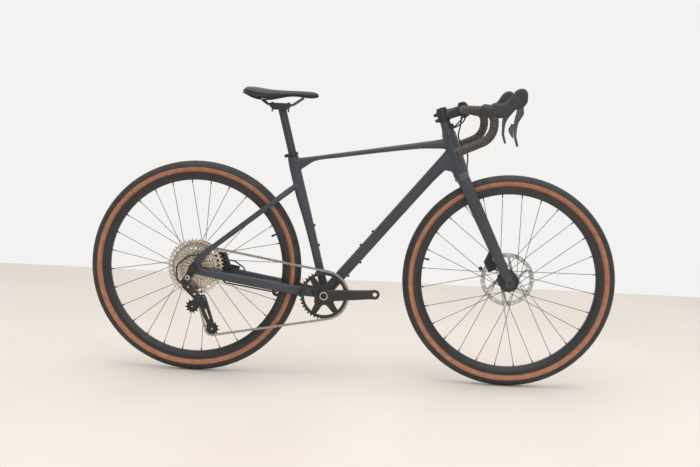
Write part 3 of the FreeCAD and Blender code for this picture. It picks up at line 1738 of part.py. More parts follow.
def right_crank():
    """Right arm with its spider, and the spindle pressed into it."""
    outer = -(chain_line + ring_thickness / 2 + spider_thickness)
    inner = -(chain_line + ring_thickness / 2)
    arm = crank_arm(right, crank_direction(0))
    arms = [
        link_plate(bracket, point, spider_root_radius, spider_end_radius, inner, outer)
        for point in spider_points()
    ]
    socket = cross_rod(spindle_radius + running_gap, bracket, -crank_root_outer * 2, 0)
    hole_radius = ring_bolt_radius + running_gap
    holes = [cross_rod(hole_radius, p, -chain_line / 2, -chain_line * 2) for p in spider_points()]
    spindle = cross_rod(spindle_radius, bracket, -crank_root_outer, crank_root_outer)
    bore = cross_rod(spindle_bore, bracket, -crank_root_outer * 2, crank_root_outer * 2)
    arms.append(spider_web(inner, outer))
    return [joined([arm] + arms).cut([socket] + holes), spindle.cut(bore)]


def left_crank():
    arm = crank_arm(left, crank_direction(180))
    return arm.cut(cross_rod(spindle_radius + running_gap, bracket, 0, crank_root_outer * 2))


def pitch_radius(teeth):
    return pitch / (2 * math.sin(math.pi / teeth))


def circle_wire(centre, radius, side):
    return Part.Wire(Part.Circle(Vec(centre.x, side, centre.z), across, radius).toShape())


def sprocket_wire(centre, teeth, phase, side):
    """A toothed outline whose gaps lie at the phase angle and every tooth pitch from it."""
    radius = pitch_radius(teeth)
    seat = roller_radius + roller_seat_gap
    tip = radius + tooth_height
    step = 2 * math.pi / teeth
    spread = math.radians(seat_arc_angle)
    tip_half = tooth_tip_width / 2 / tip

    def rim(r, angle):
        return Vec(centre.x + r * math.cos(angle), side, centre.z + r * math.sin(angle))

    edges = []
    for index in range(teeth):
        angle = phase + step * index
        middle = rim(radius, angle)

        def seat_point(turn):
            heading = angle + math.pi + turn
            return Vec(middle.x + seat * math.cos(heading), side, middle.z + seat * math.sin(heading))

        come = rim(tip, angle - step / 2 + tip_half)
        leave = rim(tip, angle + step / 2 - tip_half)
        nexts = rim(tip, angle + step / 2 + tip_half)
        edges.append(line(come, seat_point(spread)))
        edges.append(arc(seat_point(spread), seat_point(0), seat_point(-spread)))
        edges += [line(seat_point(-spread), leave), line(leave, nexts)]
    return Part.Wire(edges)


def plate_with_holes(outline, holes, thickness):
    face = Part.makeFace([outline] + holes, "Part::FaceMakerBullseye")
    return face.extrude(across * thickness)


def chainring(phase):
    low = -chain_line - ring_thickness / 2
    ring = plate_with_holes(
        sprocket_wire(bracket, ring_teeth, phase, low), [circle_wire(bracket, ring_inner_radius, low)],
        ring_thickness,
    )
    tabs = [cross_rod(spider_end_radius, p, low, low + ring_thickness) for p in spider_points()]
    holes = [cross_rod(ring_bolt_radius + running_gap, p, low * 2, 0) for p in spider_points()]
    return joined([ring] + tabs).cut(holes)


def chainring_bolts():
    inner = -chain_line + ring_thickness / 2
    outer = -(chain_line + ring_thickness / 2 + spider_thickness * 0.8)
    bolts = []
    for p in spider_points():
        start = Vec(p.x, inner, p.z)
        end = Vec(p.x, outer, p.z)
        bolts.append(headed_bolt(ring_bolt_radius, ring_bolt_radius * 1.4, start, end, ring_bolt_head))
    return bolts


def cog_side(index):
    return -(first_cog_side - cog_pitch * index)


def cog_windows(teeth, side):
    """Round windows between the bore and the teeth of the larger cogs."""
    windows = []
    depth = pitch_radius(teeth) - roller_radius * 2 - freehub_radius
    rows = int(depth / (cog_window_radius * 3))
    for row in range(rows):
        radius = freehub_radius + depth * (row + 0.62) / rows
        count = 3 * int(2 * radius / (cog_window_radius * 3))
        for index in range(count):
            angle = 2 * math.pi * (index + row * 0.5) / count
            centre = rear_axle + Vec(radius * math.cos(angle), 0, radius * math.sin(angle))
            windows.append(circle_wire(centre, cog_window_radius, side))
    return windows


def cassette(phase):
    pieces = []
    bore = freehub_radius + running_gap
    for index, teeth in enumerate(cog_teeth):
        low = cog_side(index) - cog_thickness / 2
        turn = phase if index == engaged_cog else 0
        holes = [circle_wire(rear_axle, bore, low)] + cog_windows(teeth, low)
        pieces.append(plate_with_holes(sprocket_wire(rear_axle, teeth, turn, low), holes, cog_thickness))
        if index:
            below = cog_side(index - 1) + cog_thickness / 2
            spacer = cross_rod(freehub_radius + spacer_wall, rear_axle, below, low)
            pieces.append(spacer.cut(cross_rod(bore, rear_axle, below - cog_pitch, low + cog_pitch)))
    outer = cog_side(0) - cog_thickness / 2
    lock = cross_rod(cassette_lock_radius, rear_axle, outer - cassette_lock_height, outer)
    return pieces + [lock.cut(cross_rod(freehub_bore, rear_axle, outer - cog_pitch, outer + cog_pitch))]


def freehub_body():
    """The driver that the cogs slide on, its two bearings and its end cap."""
    start = rear_hub_right_end() - piece_gap
    end = cog_side(0) - cog_thickness / 4
    body = cross_rod(freehub_radius, rear_axle, end, start)
    body = body.cut(cross_rod(freehub_bore, rear_axle, -dropout_spacing, dropout_spacing))
    bearing = freehub_bore - running_gap
    return [
        body, axle_ring(rear_axle, bearing, end, end + hub_bearing_width),
        axle_ring(rear_axle, bearing, start - hub_bearing_width, start),
        axle_ring(rear_axle, freehub_cap_radius, piece_gap - dropout_spacing / 2, end),
    ]


def knuckle_pivot():
    return hanger_bolt + Vec(-knuckle_pivot_back, 0, -knuckle_pivot_drop)


link_flat = unit(Vec(link_forward, 0, -link_drop))
link_axis = Vec(-link_flat.z, 0, link_flat.x)
link_vector = Vec(link_forward, link_inward, -link_drop)
link_outer_side = engaged_side - link_outset - link_spread - link_inward


def lower_pivot():
    return knuckle_pivot() + Vec(link_forward, 0, -link_drop)


def cage_pivot():
    return lower_pivot() + link_flat * cage_pivot_ahead


def pivot_sides(offset):
    return [link_outer_side + offset, link_outer_side + link_spread + offset]


def lug_bores(point, offset):
    half = link_axis * (knuckle_width * 2)
    bore = link_pin_radius + running_gap
    return [rod(bore, moved(point, s) - half, moved(point, s) + half) for s in pivot_sides(offset)]


def pivot_block(start, end, low, high):
    """A bar square to the pivot axis that carries both lugs."""
    along = unit(end - start)
    length = (end - start).Length
    bar = Part.makeBox(length, high - low, knuckle_width)
    tall = along.cross(across)
    return placed(bar, moved(start, low) - tall * (knuckle_width / 2), along, across, tall)


def pivot_lugs(point, offset):
    half = link_axis * (knuckle_width / 2)
    return [
        rod(knuckle_radius, moved(point, s) - half, moved(point, s) + half) for s in pivot_sides(offset)
    ]


def derailleur_upper_knuckle():
    """The knuckle bolted to the hanger, with the two upper lugs."""
    pivot = knuckle_pivot()
    knee = pivot - link_flat * knuckle_reach
    outer, inner = pivot_sides(0)
    hanger_face = -(dropout_outer + hanger_thickness)
    block = pivot_block(pivot, knee, outer - knuckle_radius, inner + knuckle_radius)
    arm = link_plate(
        knee, hanger_bolt, knuckle_radius, knuckle_bolt_radius, outer - knuckle_radius, hanger_face
    )
    bolt = cross_rod(hanger_bolt_radius, hanger_bolt, hanger_face, -dropout_outer)
    return joined([block, arm, bolt] + pivot_lugs(pivot, 0)).cut(lug_bores(pivot, 0))


def derailleur_lower_knuckle():
    """The knuckle that carries the cage, with the two lower lugs."""
    pivot = lower_pivot()
    outer, inner = pivot_sides(link_inward)
    block = pivot_block(pivot, cage_pivot(), outer - knuckle_radius, inner + knuckle_radius)
    face = cage_plate_outer() - piece_gap
    boss = cross_rod(cage_boss_radius, cage_pivot(), face - cage_boss_length, face)
    pocket = cross_rod(
        cage_pivot_radius + running_gap, cage_pivot(), face - cage_pivot_depth - piece_gap,
        face + cutter_reach,
    )
    solid = joined([block, boss] + pivot_lugs(pivot, link_inward))
    return solid.cut(lug_bores(pivot, link_inward) + [pocket])


def derailleur_link(side):
    """Two cheeks, a web and two pins, made along the link and then put in place."""
    along = unit(link_vector)
    span = link_vector.Length
    inner = knuckle_width / 2 + link_cheek_gap
    outer = inner + link_cheek_thickness
    pieces = []
    for low, high in ((inner, outer), (-outer, -inner)):
        corner = Vec(0, -link_cheek_radius, low)
        pieces.append(Part.makeBox(span, link_cheek_radius * 2, high - low, corner))
        for x in (0, span):
            pieces.append(Part.makeCylinder(link_cheek_radius, high - low, Vec(x, 0, low), upward))
    web = Part.makeBox(
        span - link_web_inset * 2, link_web_thickness, outer * 2,
        Vec(link_web_inset, -link_web_thickness / 2, -outer),
    )
    pins = [Part.makeCylinder(link_pin_radius, outer * 2, Vec(x, 0, -outer), upward) for x in (0, span)]
    whole = joined(pieces + [web] + pins)
    return placed(whole, moved(knuckle_pivot(), side), along, link_axis.cross(along), link_axis)


def cage_plate_outer():
    return engaged_side - cage_half_gap - cage_plate_thickness


def pulley_centres(turn):
    """Guide and tension pulley middles with the cage turned by an angle."""
    centres = []
    for arm, angle in ((guide_arm, guide_arm_angle), (tension_arm, tension_arm_angle)):
        heading = math.radians(angle + turn)
        centres.append(cage_pivot() + Vec(arm * math.cos(heading), 0, arm * math.sin(heading)))
    return centres


def chain_path(turn):
    """Straight runs and arcs of the chain as a loop, for one cage angle."""
    guide, tension = pulley_centres(turn)
    pulley = pitch_radius(pulley_teeth)
    wheels = [
        (bracket, pitch_radius(ring_teeth)), (tension, pulley), (guide, -pulley),
        (rear_axle, pitch_radius(cog_teeth[engaged_cog])),
    ]
    runs = []
    for (a, radius_a), (b, radius_b) in zip(wheels, wheels[1:] + wheels[:1]):
        apart = math.hypot(b.x - a.x, b.z - a.z)
        heading = math.atan2(b.z - a.z, b.x - a.x) - math.asin((radius_a - radius_b) / apart)
        normal = heading + math.pi / 2
        leave = (a.x + radius_a * math.cos(normal), a.z + radius_a * math.sin(normal))
        arrive = (b.x + radius_b * math.cos(normal), b.z + radius_b * math.sin(normal))
        runs.append((heading, leave, arrive))
    path = []
    for index, (centre, radius) in enumerate(wheels):
        come = runs[index - 1]
        go = runs[index]
        turn_sign = -1 if radius > 0 else 1
        swing = (turn_sign * (go[0] - come[0])) % (2 * math.pi)
        start = math.atan2(come[2][1] - centre.z, come[2][0] - centre.x)
        path.append(("arc", index, abs(radius) * swing, centre, abs(radius), start, turn_sign))
        length = math.hypot(go[2][0] - go[1][0], go[2][1] - go[1][1])
        path.append(("run", index, length, go[1], go[2], None, None))
    return path


def chain_place(path, distance):
    """Point on the chain loop at a distance along it, with its stretch and what is left of that."""
    total = sum(p[2] for p in path)
    rest = distance % total
    for number, stretch in enumerate(path):
        if rest <= stretch[2]:
            break
        rest -= stretch[2]
    if stretch[0] == "arc":
        angle = stretch[5] + stretch[6] * rest / stretch[4]
        point = (stretch[3].x + stretch[4] * math.cos(angle), stretch[3].z + stretch[4] * math.sin(angle))
    else:
        share = rest / stretch[2]
        a, b = stretch[3], stretch[4]
        point = (a[0] + (b[0] - a[0]) * share, a[1] + (b[1] - a[1]) * share)
    return point, number, rest


def next_pin(path, distance):
    """The distance along the loop that lies one pitch away in a straight line."""
    here, _, _ = chain_place(path, distance)
    low = distance + pitch * 0.9
    high = distance + pitch * 1.2
    while high - low > pitch / 10 ** 10:
        middle = (low + high) / 2
        there, _, _ = chain_place(path, middle)
        if math.hypot(there[0] - here[0], there[1] - here[1]) < pitch:
            low = middle
        else:
            high = middle
    return (low + high) / 2


def pin_distances(turn, count):
    path = chain_path(turn)
    distances = [0]
    for _ in range(count):
        distances.append(next_pin(path, distances[-1]))
    return path, distances


def chain_excess(turn, count):
    """How far the last pin passes the first when a chain of a number of links is laid round the loop."""
    path, distances = pin_distances(turn, count)
    return distances[-1] - sum(p[2] for p in path)


def solve_chain():
    """The cage angle and link count that close the chain."""
    length = sum(p[2] for p in chain_path(0))
    count = 2 * round(length / pitch / 2)
    low = -cage_search_angle
    high = cage_search_angle
    rising = chain_excess(low, count) < chain_excess(high, count)
    while high - low > cage_search_angle / 10 ** 9:
        middle = (low + high) / 2
        if (chain_excess(middle, count) < 0) == rising:
            low = middle
        else:
            high = middle
    return (low + high) / 2, count


def chain_side(path, number, rest):
    """Sideways place of a pin, level on the wheels and slanted along the runs beside the chainring."""
    kind, index, length = path[number][:3]
    if kind == "arc":
        return -chain_line if index == 0 else engaged_side
    slanted = {0: (-chain_line, engaged_side), 3: (engaged_side, -chain_line)}
    ends = slanted.get(index, (engaged_side, engaged_side))
    margin = pitch * chain_straight_pitches
    share = min(max((rest - margin) / (length - margin * 2), 0), 1)
    return ends[0] + (ends[1] - ends[0]) * share * share * (3 - 2 * share)


def chain_pins(turn, count):
    path, distances = pin_distances(turn, count)
    pins = []
    for distance in distances[:-1]:
        point, number, rest = chain_place(path, distance)
        pins.append((Vec(point[0], chain_side(path, number, rest), point[1]), number))
    return pins


def wheel_phase(pins, number, centre):
    """The angle of a pin that lies on one of the toothed wheels."""
    on_wheel = [p for p, n in pins if n == number]
    pin = on_wheel[len(on_wheel) // 2]
    return math.atan2(pin.z - centre.z, pin.x - centre.x)


def chain_plate(low):
    """A plate with two round ends and a waist."""
    half = pitch / 2
    waist = chain_plate_radius * 0.68
    lift = chain_waist_radius + waist
    reach = math.hypot(half, lift)
    scale = chain_plate_radius / reach
    touch_x = half * (1 - scale)
    touch_z = lift * scale
    ends = {}
    for sx in (-1, 1):
        for sz in (-1, 1):
            ends[sx, sz] = Vec(sx * touch_x, low, sz * touch_z)
    far = half + chain_plate_radius
    outline = Part.Wire([
        arc(ends[1, 1], Vec(far, low, 0), ends[1, -1]),
        line(ends[1, -1], ends[-1, -1]),
        arc(ends[-1, -1], Vec(-far, low, 0), ends[-1, 1]),
        line(ends[-1, 1], ends[1, 1]),
    ])
    return Part.Face(outline).extrude(across * chain_plate_thickness)


def outer_link():
    inner = chain_inner_width / 2 + chain_plate_thickness + chain_plate_gap
    outer = inner + chain_plate_thickness
    pins = []
    for x in (-pitch / 2, pitch / 2):
        pins.append(rod(chain_pin_radius, Vec(x, -outer, 0), Vec(x, outer, 0)))
    return joined([chain_plate(inner), chain_plate(-outer)] + pins)


def inner_link():
    inner = chain_inner_width / 2
    outer = inner + chain_plate_thickness
    rollers = []
    bores = []
    for x in (-pitch / 2, pitch / 2):
        rollers.append(rod(roller_radius, Vec(x, -inner, 0), Vec(x, inner, 0)))
        bores.append(rod(chain_pin_radius + running_gap, Vec(x, -outer * 2, 0), Vec(x, outer * 2, 0)))
    return joined([chain_plate(inner), chain_plate(-outer)] + rollers).cut(bores)


def chain_links(pins, form, first):
    links = []
    for index in range(first, len(pins), 2):
        a = pins[index][0]
        b = pins[(index + 1) % len(pins)][0]
        along = unit(b - a)
        tall = unit(along.cross(across))
        links.append(placed(form, (a + b) * 0.5, along, tall.cross(along), tall))
    return links


def derailleur_cage(turn):
    """Outer plate with the pivot pin, inner plate and the two pulley bolts."""
    guide, tension = pulley_centres(turn)
    outer_low = cage_plate_outer()
    inner_low = engaged_side + cage_half_gap
    plates = []
    bores = [
        cross_rod(pulley_bore, c, outer_low - cage_half_gap, inner_low + cage_half_gap)
        for c in (guide, tension)
    ]
    slot_ends = [blend(cage_pivot(), tension, share) for share in cage_slot_shares]
    slot = link_plate(
        *slot_ends, cage_slot_radius, cage_slot_radius, outer_low - cage_half_gap, inner_low + cage_half_gap
    )
    pin = cross_rod(cage_pivot_radius, cage_pivot(), outer_low - piece_gap - cage_pivot_depth, outer_low)
    for low in (outer_low, inner_low):
        high = low + cage_plate_thickness
        pieces = [
            link_plate(cage_pivot(), guide, cage_pivot_plate_radius, cage_guide_radius, low, high),
            link_plate(cage_pivot(), tension, cage_pivot_plate_radius, cage_tension_radius, low, high),
        ]
        if low == outer_low:
            pieces.append(pin)
        plates.append(joined(pieces).cut(bores + [slot]))
    bolts = []
    for c in (guide, tension):
        start = Vec(c.x, outer_low, c.z)
        end = Vec(c.x, inner_low + cage_plate_thickness, c.z)
        radius = pulley_bore - running_gap
        bolts.append(headed_bolt(radius, cage_bolt_head_radius, start, end, piece_gap))
    return plates + bolts


def pulley(centre, phase):
    low = engaged_side - pulley_thickness / 2
    outline = sprocket_wire(centre, pulley_teeth, phase, low)
    disc = plate_with_holes(outline, [circle_wire(centre, pulley_bore, low)], pulley_thickness)
    half = cage_half_gap - piece_gap
    collar = cross_rod(pulley_bore * 2, centre, engaged_side - half, engaged_side + half)
    return joined([disc, collar]).cut(cross_rod(pulley_bore, centre, -dropout_spacing, 0))


def steering_hoses():
    """Front hose to the fork crown, rear hose and shift housing to the headset cover."""
    hoses = []
    for shares in (front_hose_shares, rear_hose_shares, shift_housing_shares):
        points = [bar_middle + Vec(*share) * head_tube_length for share in shares]
        hoses.append(smooth_hose(points, hose_radius))
    return hoses


def frame_hoses():
    """Shift housing under the chain stay, its loop into the derailleur and the rear brake hose."""
    half = chain_stay_height / 2
    start, end = chain_stay_ends()

    def under(share, side, below):
        rows = chain_stay_shares
        for low, high in zip(rows, rows[1:]):
            if low[0] <= share <= high[0]:
                out = low[1] + (high[1] - low[1]) * (share - low[0]) / (high[0] - low[0])
        return moved(blend(start, end, share), side * out * dropout_middle) - upward * below

    run = [under(share, right, drop * half) for share, drop in housing_run_shares]
    stay_end = blend(*seat_stay_ends(), dropout_plate_share)
    knee = knuckle_pivot() - link_flat * knuckle_reach
    outside = link_outer_side
    loop = [
        moved(stay_end, -dropout_middle),
        moved(rear_axle + Vec(-dropout_radius, 0, dropout_radius * 2.6), -dropout_outer),
        moved(knee + Vec(-dropout_radius * 1.4, 0, dropout_radius * 3.4), outside + hose_radius),
        moved(knee + Vec(-dropout_radius, 0, 0), outside),
        moved(knee, outside),
    ]
    out, deep = caliper_axes(rear_axle)
    long_share = (1 + caliper_far_share) / 2
    reach = rear_caliper_low + (rear_caliper_high - rear_caliper_low) * long_share - caliper_wall
    entry = moved(rear_axle + out * reach, rear_rotor_side() + caliper_wall)
    entry = entry + deep * ((rear_caliper_near + rear_caliper_far) / 2)
    brake = [under(share, left, drop * half) for share, drop in brake_run_shares]
    brake += [entry + out * caliper_tail_reach, entry]
    return [
        hose(run, [housing_bend_radius / 2] * 2, hose_radius),
        hose(loop, [housing_loop_radius, housing_loop_radius, hose_bend_radius], hose_radius),
        hose(brake, [housing_bend_radius] * 2, hose_radius),
    ]


def wheel_rim(axle, lines, angle):
    """The rim and its joint sleeve, which balances the valve and the valve hole."""
    ring = rim(axle, lines, angle)
    stem_piece = valve(axle, angle)
    out = wheel_direction(angle)
    moment = sum(s.Volume * (s.CenterOfMass - axle).dot(out) for s in (ring, stem_piece))
    return [ring, rim_sleeve(axle, angle, moment)]


def build():
    front_flanges = (-front_flange_spread / 2, front_flange_spread / 2)
    front_lines = wheel_spokes(front_axle, front_flange_radius, front_flanges, front_valve_angle)
    rear_flanges = (-rear_right_flange, rear_left_flange)
    rear_lines = wheel_spokes(rear_axle, rear_flange_radius, rear_flanges, rear_valve_angle)
    cage_turn, link_count = solve_chain()
    pins = chain_pins(cage_turn, link_count)
    guide, tension = pulley_centres(cage_turn)
    front_disc = (front_axle, front_rotor_side())
    rear_disc = (rear_axle, rear_rotor_side())
    return {
        "main_frame": main_frame(),
        "rear_triangle": rear_triangle(),
        "derailleur_hanger": derailleur_hanger(),
        "rear_axle": rear_through_axle(),
        "headset_bearings": headset_bearings(),
        "bottom_bracket_cups": bottom_bracket_cups(),
        "seat_collar": seat_collar(),
        "frame_bolts": surface_bolts(),
        "frame_hoses": frame_hoses(),
        "seat_post": seat_post(),
        "saddle_cradle": saddle_cradle(),
        "saddle_rails": saddle_rails(),
        "saddle_shell": saddle_shell(),
        "saddle_cover": saddle_cover(),
        "fork": fork(),
        "front_axle": front_through_axle(),
        "headset_cover": headset_cover(),
        "stem": stem(),
        "stem_faceplate": stem_faceplate(),
        "steering_fasteners": [stem_cap()] + steering_bolts(),
        "handlebar": handlebar(),
        "bar_tape": bar_tape(),
        "bar_plugs": bar_plugs(),
        "right_lever_body": lever_body(right),
        "left_lever_body": lever_body(left),
        "right_brake_lever": brake_lever(right),
        "left_brake_lever": brake_lever(left),
        "shift_paddle": shift_paddle(),
        "steering_hoses": steering_hoses(),
        "front_tyre": tyre(front_axle),
        "rear_tyre": tyre(rear_axle),
        "front_rim": wheel_rim(front_axle, front_lines, front_valve_angle),
        "rear_rim": wheel_rim(rear_axle, rear_lines, rear_valve_angle),
        "front_valve": valve(front_axle, front_valve_angle),
        "rear_valve": valve(rear_axle, rear_valve_angle),
        "front_spokes": spokes(front_lines),
        "rear_spokes": spokes(rear_lines),
        "front_hub": front_hub(front_lines),
        "rear_hub": rear_hub(rear_lines),
        "front_rotor": [rotor(*front_disc, front_rotor_radius), rotor_lock_ring(*front_disc)],
        "rear_rotor": [rotor(*rear_disc, rear_rotor_radius), rotor_lock_ring(*rear_disc)],
        "front_brake_caliper": front_caliper(),
        "rear_brake_caliper": rear_caliper(),
        "front_pad_right": brake_pad(*front_disc, front_pad_out, front_pad_deep, right),
        "front_pad_left": brake_pad(*front_disc, front_pad_out, front_pad_deep, left),
        "rear_pad_right": brake_pad(*rear_disc, rear_pad_out, rear_pad_deep, right),
        "rear_pad_left": brake_pad(*rear_disc, rear_pad_out, rear_pad_deep, left),
        "right_crank": right_crank(),
        "left_crank": left_crank(),
        "chainring": [chainring(wheel_phase(pins, 0, bracket))] + chainring_bolts(),
        "cassette": cassette(wheel_phase(pins, 6, rear_axle)),
        "freehub_body": freehub_body(),
        "chain": chain_links(pins, outer_link(), 0) + chain_links(pins, inner_link(), 1),
        "derailleur_knuckle": derailleur_upper_knuckle(),
        "derailleur_outer_link": derailleur_link(link_outer_side),
        "derailleur_inner_link": derailleur_link(link_outer_side + link_spread),
        "derailleur_lower_knuckle": derailleur_lower_knuckle(),
        "derailleur_cage": derailleur_cage(cage_turn),
        "guide_pulley": pulley(guide, wheel_phase(pins, 4, guide)),
        "tension_pulley": pulley(tension, wheel_phase(pins, 2, tension)),
    }


os.makedirs("parts", exist_ok=True)
for name, shape in build().items():
    pieces = shape if isinstance(shape, list) else [shape]
    solids = [solid for piece in pieces for solid in piece.Solids]
    Part.makeCompound(solids).exportStep("parts/" + name + ".step")
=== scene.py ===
import bpy
import bmesh
import json
import math
from mathutils import Matrix, Quaternion, Vector

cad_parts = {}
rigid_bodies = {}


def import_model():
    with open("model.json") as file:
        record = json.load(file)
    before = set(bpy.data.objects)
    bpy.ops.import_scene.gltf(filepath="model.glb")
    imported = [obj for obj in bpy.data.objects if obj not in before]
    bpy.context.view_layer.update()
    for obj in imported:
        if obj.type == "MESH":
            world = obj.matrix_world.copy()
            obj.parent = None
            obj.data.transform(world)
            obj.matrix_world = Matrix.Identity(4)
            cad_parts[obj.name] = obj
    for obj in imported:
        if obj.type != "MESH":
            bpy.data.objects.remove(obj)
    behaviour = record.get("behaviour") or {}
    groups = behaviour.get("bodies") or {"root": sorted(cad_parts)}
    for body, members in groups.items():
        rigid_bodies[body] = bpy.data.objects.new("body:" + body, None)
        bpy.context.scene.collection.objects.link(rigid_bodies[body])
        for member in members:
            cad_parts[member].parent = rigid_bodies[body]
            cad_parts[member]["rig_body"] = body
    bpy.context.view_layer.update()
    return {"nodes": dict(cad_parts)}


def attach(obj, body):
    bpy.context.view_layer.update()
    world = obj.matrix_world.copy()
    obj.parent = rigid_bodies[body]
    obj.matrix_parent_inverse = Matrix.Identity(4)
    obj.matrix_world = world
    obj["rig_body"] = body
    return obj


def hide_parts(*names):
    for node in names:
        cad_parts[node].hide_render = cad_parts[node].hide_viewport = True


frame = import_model()
nodes = frame["nodes"]
mm = 0.001
across = Vector((0, 1, 0))
up = Vector((0, 0, 1))
right, left = -1, 1
print("frame loaded:", len(nodes), "nodes")


# sizes in millimetres and degrees, the same ones that the solids hang on
bike = {
    "seatAngle": 74.6, "steerAngle": 70.0, "halfBase": 525, "axleHeight": 355, "bracket": (-88, 0, 283.5),
    "forkOffset": 46.5, "forkLength": 396, "race": 1, "headTube": 124, "headsetCover": 50,
    "stemRise": 20.5, "stemAngle": 19, "stemLength": 66, "seatTube": 473, "postShown": 157,
}


# a tube's own way up, and the way ahead that is square to it
def lean(angle):
    turn = math.radians(angle)
    return Vector((-math.cos(turn), 0, math.sin(turn))), Vector((math.sin(turn), 0, math.cos(turn)))


seatUp, seatAhead = lean(bike["seatAngle"])
steerUp, steerAhead = lean(bike["steerAngle"])
rearAxle = Vector((-bike["halfBase"], 0, bike["axleHeight"]))
frontAxle = Vector((bike["halfBase"], 0, bike["axleHeight"]))
bracket = Vector(bike["bracket"])
crownRace = frontAxle - steerAhead * bike["forkOffset"] + steerUp * bike["forkLength"]
headFoot = crownRace + steerUp * bike["race"]
headCrest = headFoot + steerUp * bike["headTube"]
coverFoot = headCrest + steerUp * bike["race"]
coverCrest = coverFoot + steerUp * bike["headsetCover"]
stemMiddle = coverCrest + steerUp * bike["stemRise"]
stemTurn = math.radians(bike["stemAngle"])
stemAhead = Vector((math.cos(stemTurn), 0, math.sin(stemTurn)))
barMiddle = stemMiddle + stemAhead * bike["stemLength"]
collarFoot = bracket + seatUp * bike["seatTube"]
postCrest = collarFoot + seatUp * bike["postShown"]


# an sRGB hex value as the linear colour that Blender takes
def hexColor(code):
    parts = [int(code[i:i + 2], 16) / 255 for i in (0, 2, 4)]
    return tuple(c / 12.92 if c <= 0.04045 else ((c + 0.055) / 1.055) ** 2.4 for c in parts) + (1.0,)


# one node with its settings and links, for every material below; a ramp's stops are (place, colour)
def addNode(tree, kind, settings=None, links=None, stops=()):
    node = tree.nodes.new(kind)
    for key, value in (settings or {}).items():
        if isinstance(key, int) or key in node.inputs:
            node.inputs[key].default_value = value
        else:
            setattr(node, key, value)
    for key, source in (links or {}).items():
        tree.links.new(source, node.inputs[key])
    for i, (spot, code) in enumerate(stops):
        node.color_ramp.elements[i].position = spot
        node.color_ramp.elements[i].color = hexColor(code)
    return node


# noise cells per metre for a grain of that many millimetres
def grainScale(size):
    return 1000 / size


# waves per metre of the wave texture, whose scale 1 is a wave of 0.314 m
def waveScale(size):
    return 314 / size


# where a noise turns from its low colour to its high one, and from smooth to rough
patchEdge = (0.35, 0.65)
wipeEdge = (0.3, 0.7)
grainDepth = 0.2  # of a grain's size


def cloudStops(low, high):
    return [(patchEdge[0], low), (patchEdge[1], high)]


# a surface with patchy colour, patchy gloss and a fine grain, which most finishes start from
def finish(name, look):
    material = bpy.data.materials.new(name)
    material.use_nodes = True
    tree = material.node_tree
    tree.nodes.clear()
    output = addNode(tree, "ShaderNodeOutputMaterial")
    shader = addNode(tree, "ShaderNodeBsdfPrincipled", {"Metallic": look["metal"]})
    tree.links.new(shader.outputs[0], output.inputs["Surface"])
    if not look["metal"]:
        shader.inputs["IOR"].default_value = look["ior"]
    place = addNode(tree, "ShaderNodeTexCoord").outputs["Object"]
    patch, wipe, grain = (
        addNode(
            tree, "ShaderNodeTexNoise", {"Scale": grainScale(look[key]), "Detail": fine}, {"Vector": place}
        )
        for key, fine in (("patch", 4), ("wipe", 3), ("grain", 2))
    )
    stops = cloudStops(look["low"], look["high"])
    tint = addNode(tree, "ShaderNodeValToRGB", None, {"Fac": patch.outputs["Fac"]}, stops)
    tree.links.new(tint.outputs["Color"], shader.inputs["Base Color"])
    smooth, dull = look["rough"]
    rough = addNode(
        tree, "ShaderNodeMapRange",
        {"From Min": wipeEdge[0], "From Max": wipeEdge[1], "To Min": smooth, "To Max": dull},
        {"Value": wipe.outputs["Fac"]},
    )
    tree.links.new(rough.outputs["Result"], shader.inputs["Roughness"])
    bump = addNode(
        tree, "ShaderNodeBump", {"Strength": look["relief"], "Distance": look["grain"] * grainDepth * mm},
        {"Height": grain.outputs["Fac"]},
    )
    tree.links.new(bump.outputs["Normal"], shader.inputs["Normal"])
    return material, tree, shader, place


# powder-coated aluminium: a matt skin with a faint orange peel; the peel is drawn at 1.4 mm to show at all
framePaint = finish("powder coated aluminium", {
    "low": "373c42", "high": "40464d", "patch": 140, "wipe": 25, "grain": 1.4, "relief": 0.05,
    "rough": (0.40, 0.50), "metal": 0, "ior": 1.5,
})[0]
# anodised aluminium, bead blasted first: dark, dry and even
blackAlloy = finish("black anodised aluminium", {
    "low": "1b1b1d", "high": "232425", "patch": 30, "wipe": 9, "grain": 0.8, "relief": 0.06,
    "rough": (0.38, 0.50), "metal": 0, "ior": 1.6,
})[0]
# forged aluminium under a satin black lacquer, a touch warmer than the anodised pieces
forgedCrank = finish("satin lacquered forged aluminium", {
    "low": "2b2625", "high": "342f2d", "patch": 45, "wipe": 14, "grain": 1.0, "relief": 0.05,
    "rough": (0.34, 0.46), "metal": 0, "ior": 1.5,
})[0]
# drawn tube, anodised dark grey, with a soft sheen along it
greyAlloy = finish("dark grey anodised tube", {
    "low": "2a2c30", "high": "33363a", "patch": 50, "wipe": 12, "grain": 0.7, "relief": 0.05,
    "rough": (0.30, 0.42), "metal": 0, "ior": 1.6,
})[0]
# bare machined aluminium: bright, with fine tool lines that spread the gloss
bareAlloy = finish("machined aluminium", {
    "low": "c3c4c6", "high": "dcdddf", "patch": 12, "wipe": 4, "grain": 0.6, "relief": 0.08,
    "rough": (0.24, 0.38), "metal": 1,
})[0]
# nickel-plated steel plates, bright with a warm cast, with thin dark oil and painted shade in the corners
nickelSteel = finish("nickel plated steel", {
    "low": "c2b7a4", "high": "ebe2d2", "patch": 9, "wipe": 4, "grain": 0.5, "relief": 0.08,
    "rough": (0.20, 0.34), "metal": 1,
})[0]
# black oxide on drawn steel wire: dark with a hard thin gloss
blackSteel = finish("black oxide steel", {
    "low": "1a1b1c", "high": "232425", "patch": 14, "wipe": 6, "grain": 0.5, "relief": 0.05,
    "rough": (0.26, 0.38), "metal": 0, "ior": 1.9,
})[0]
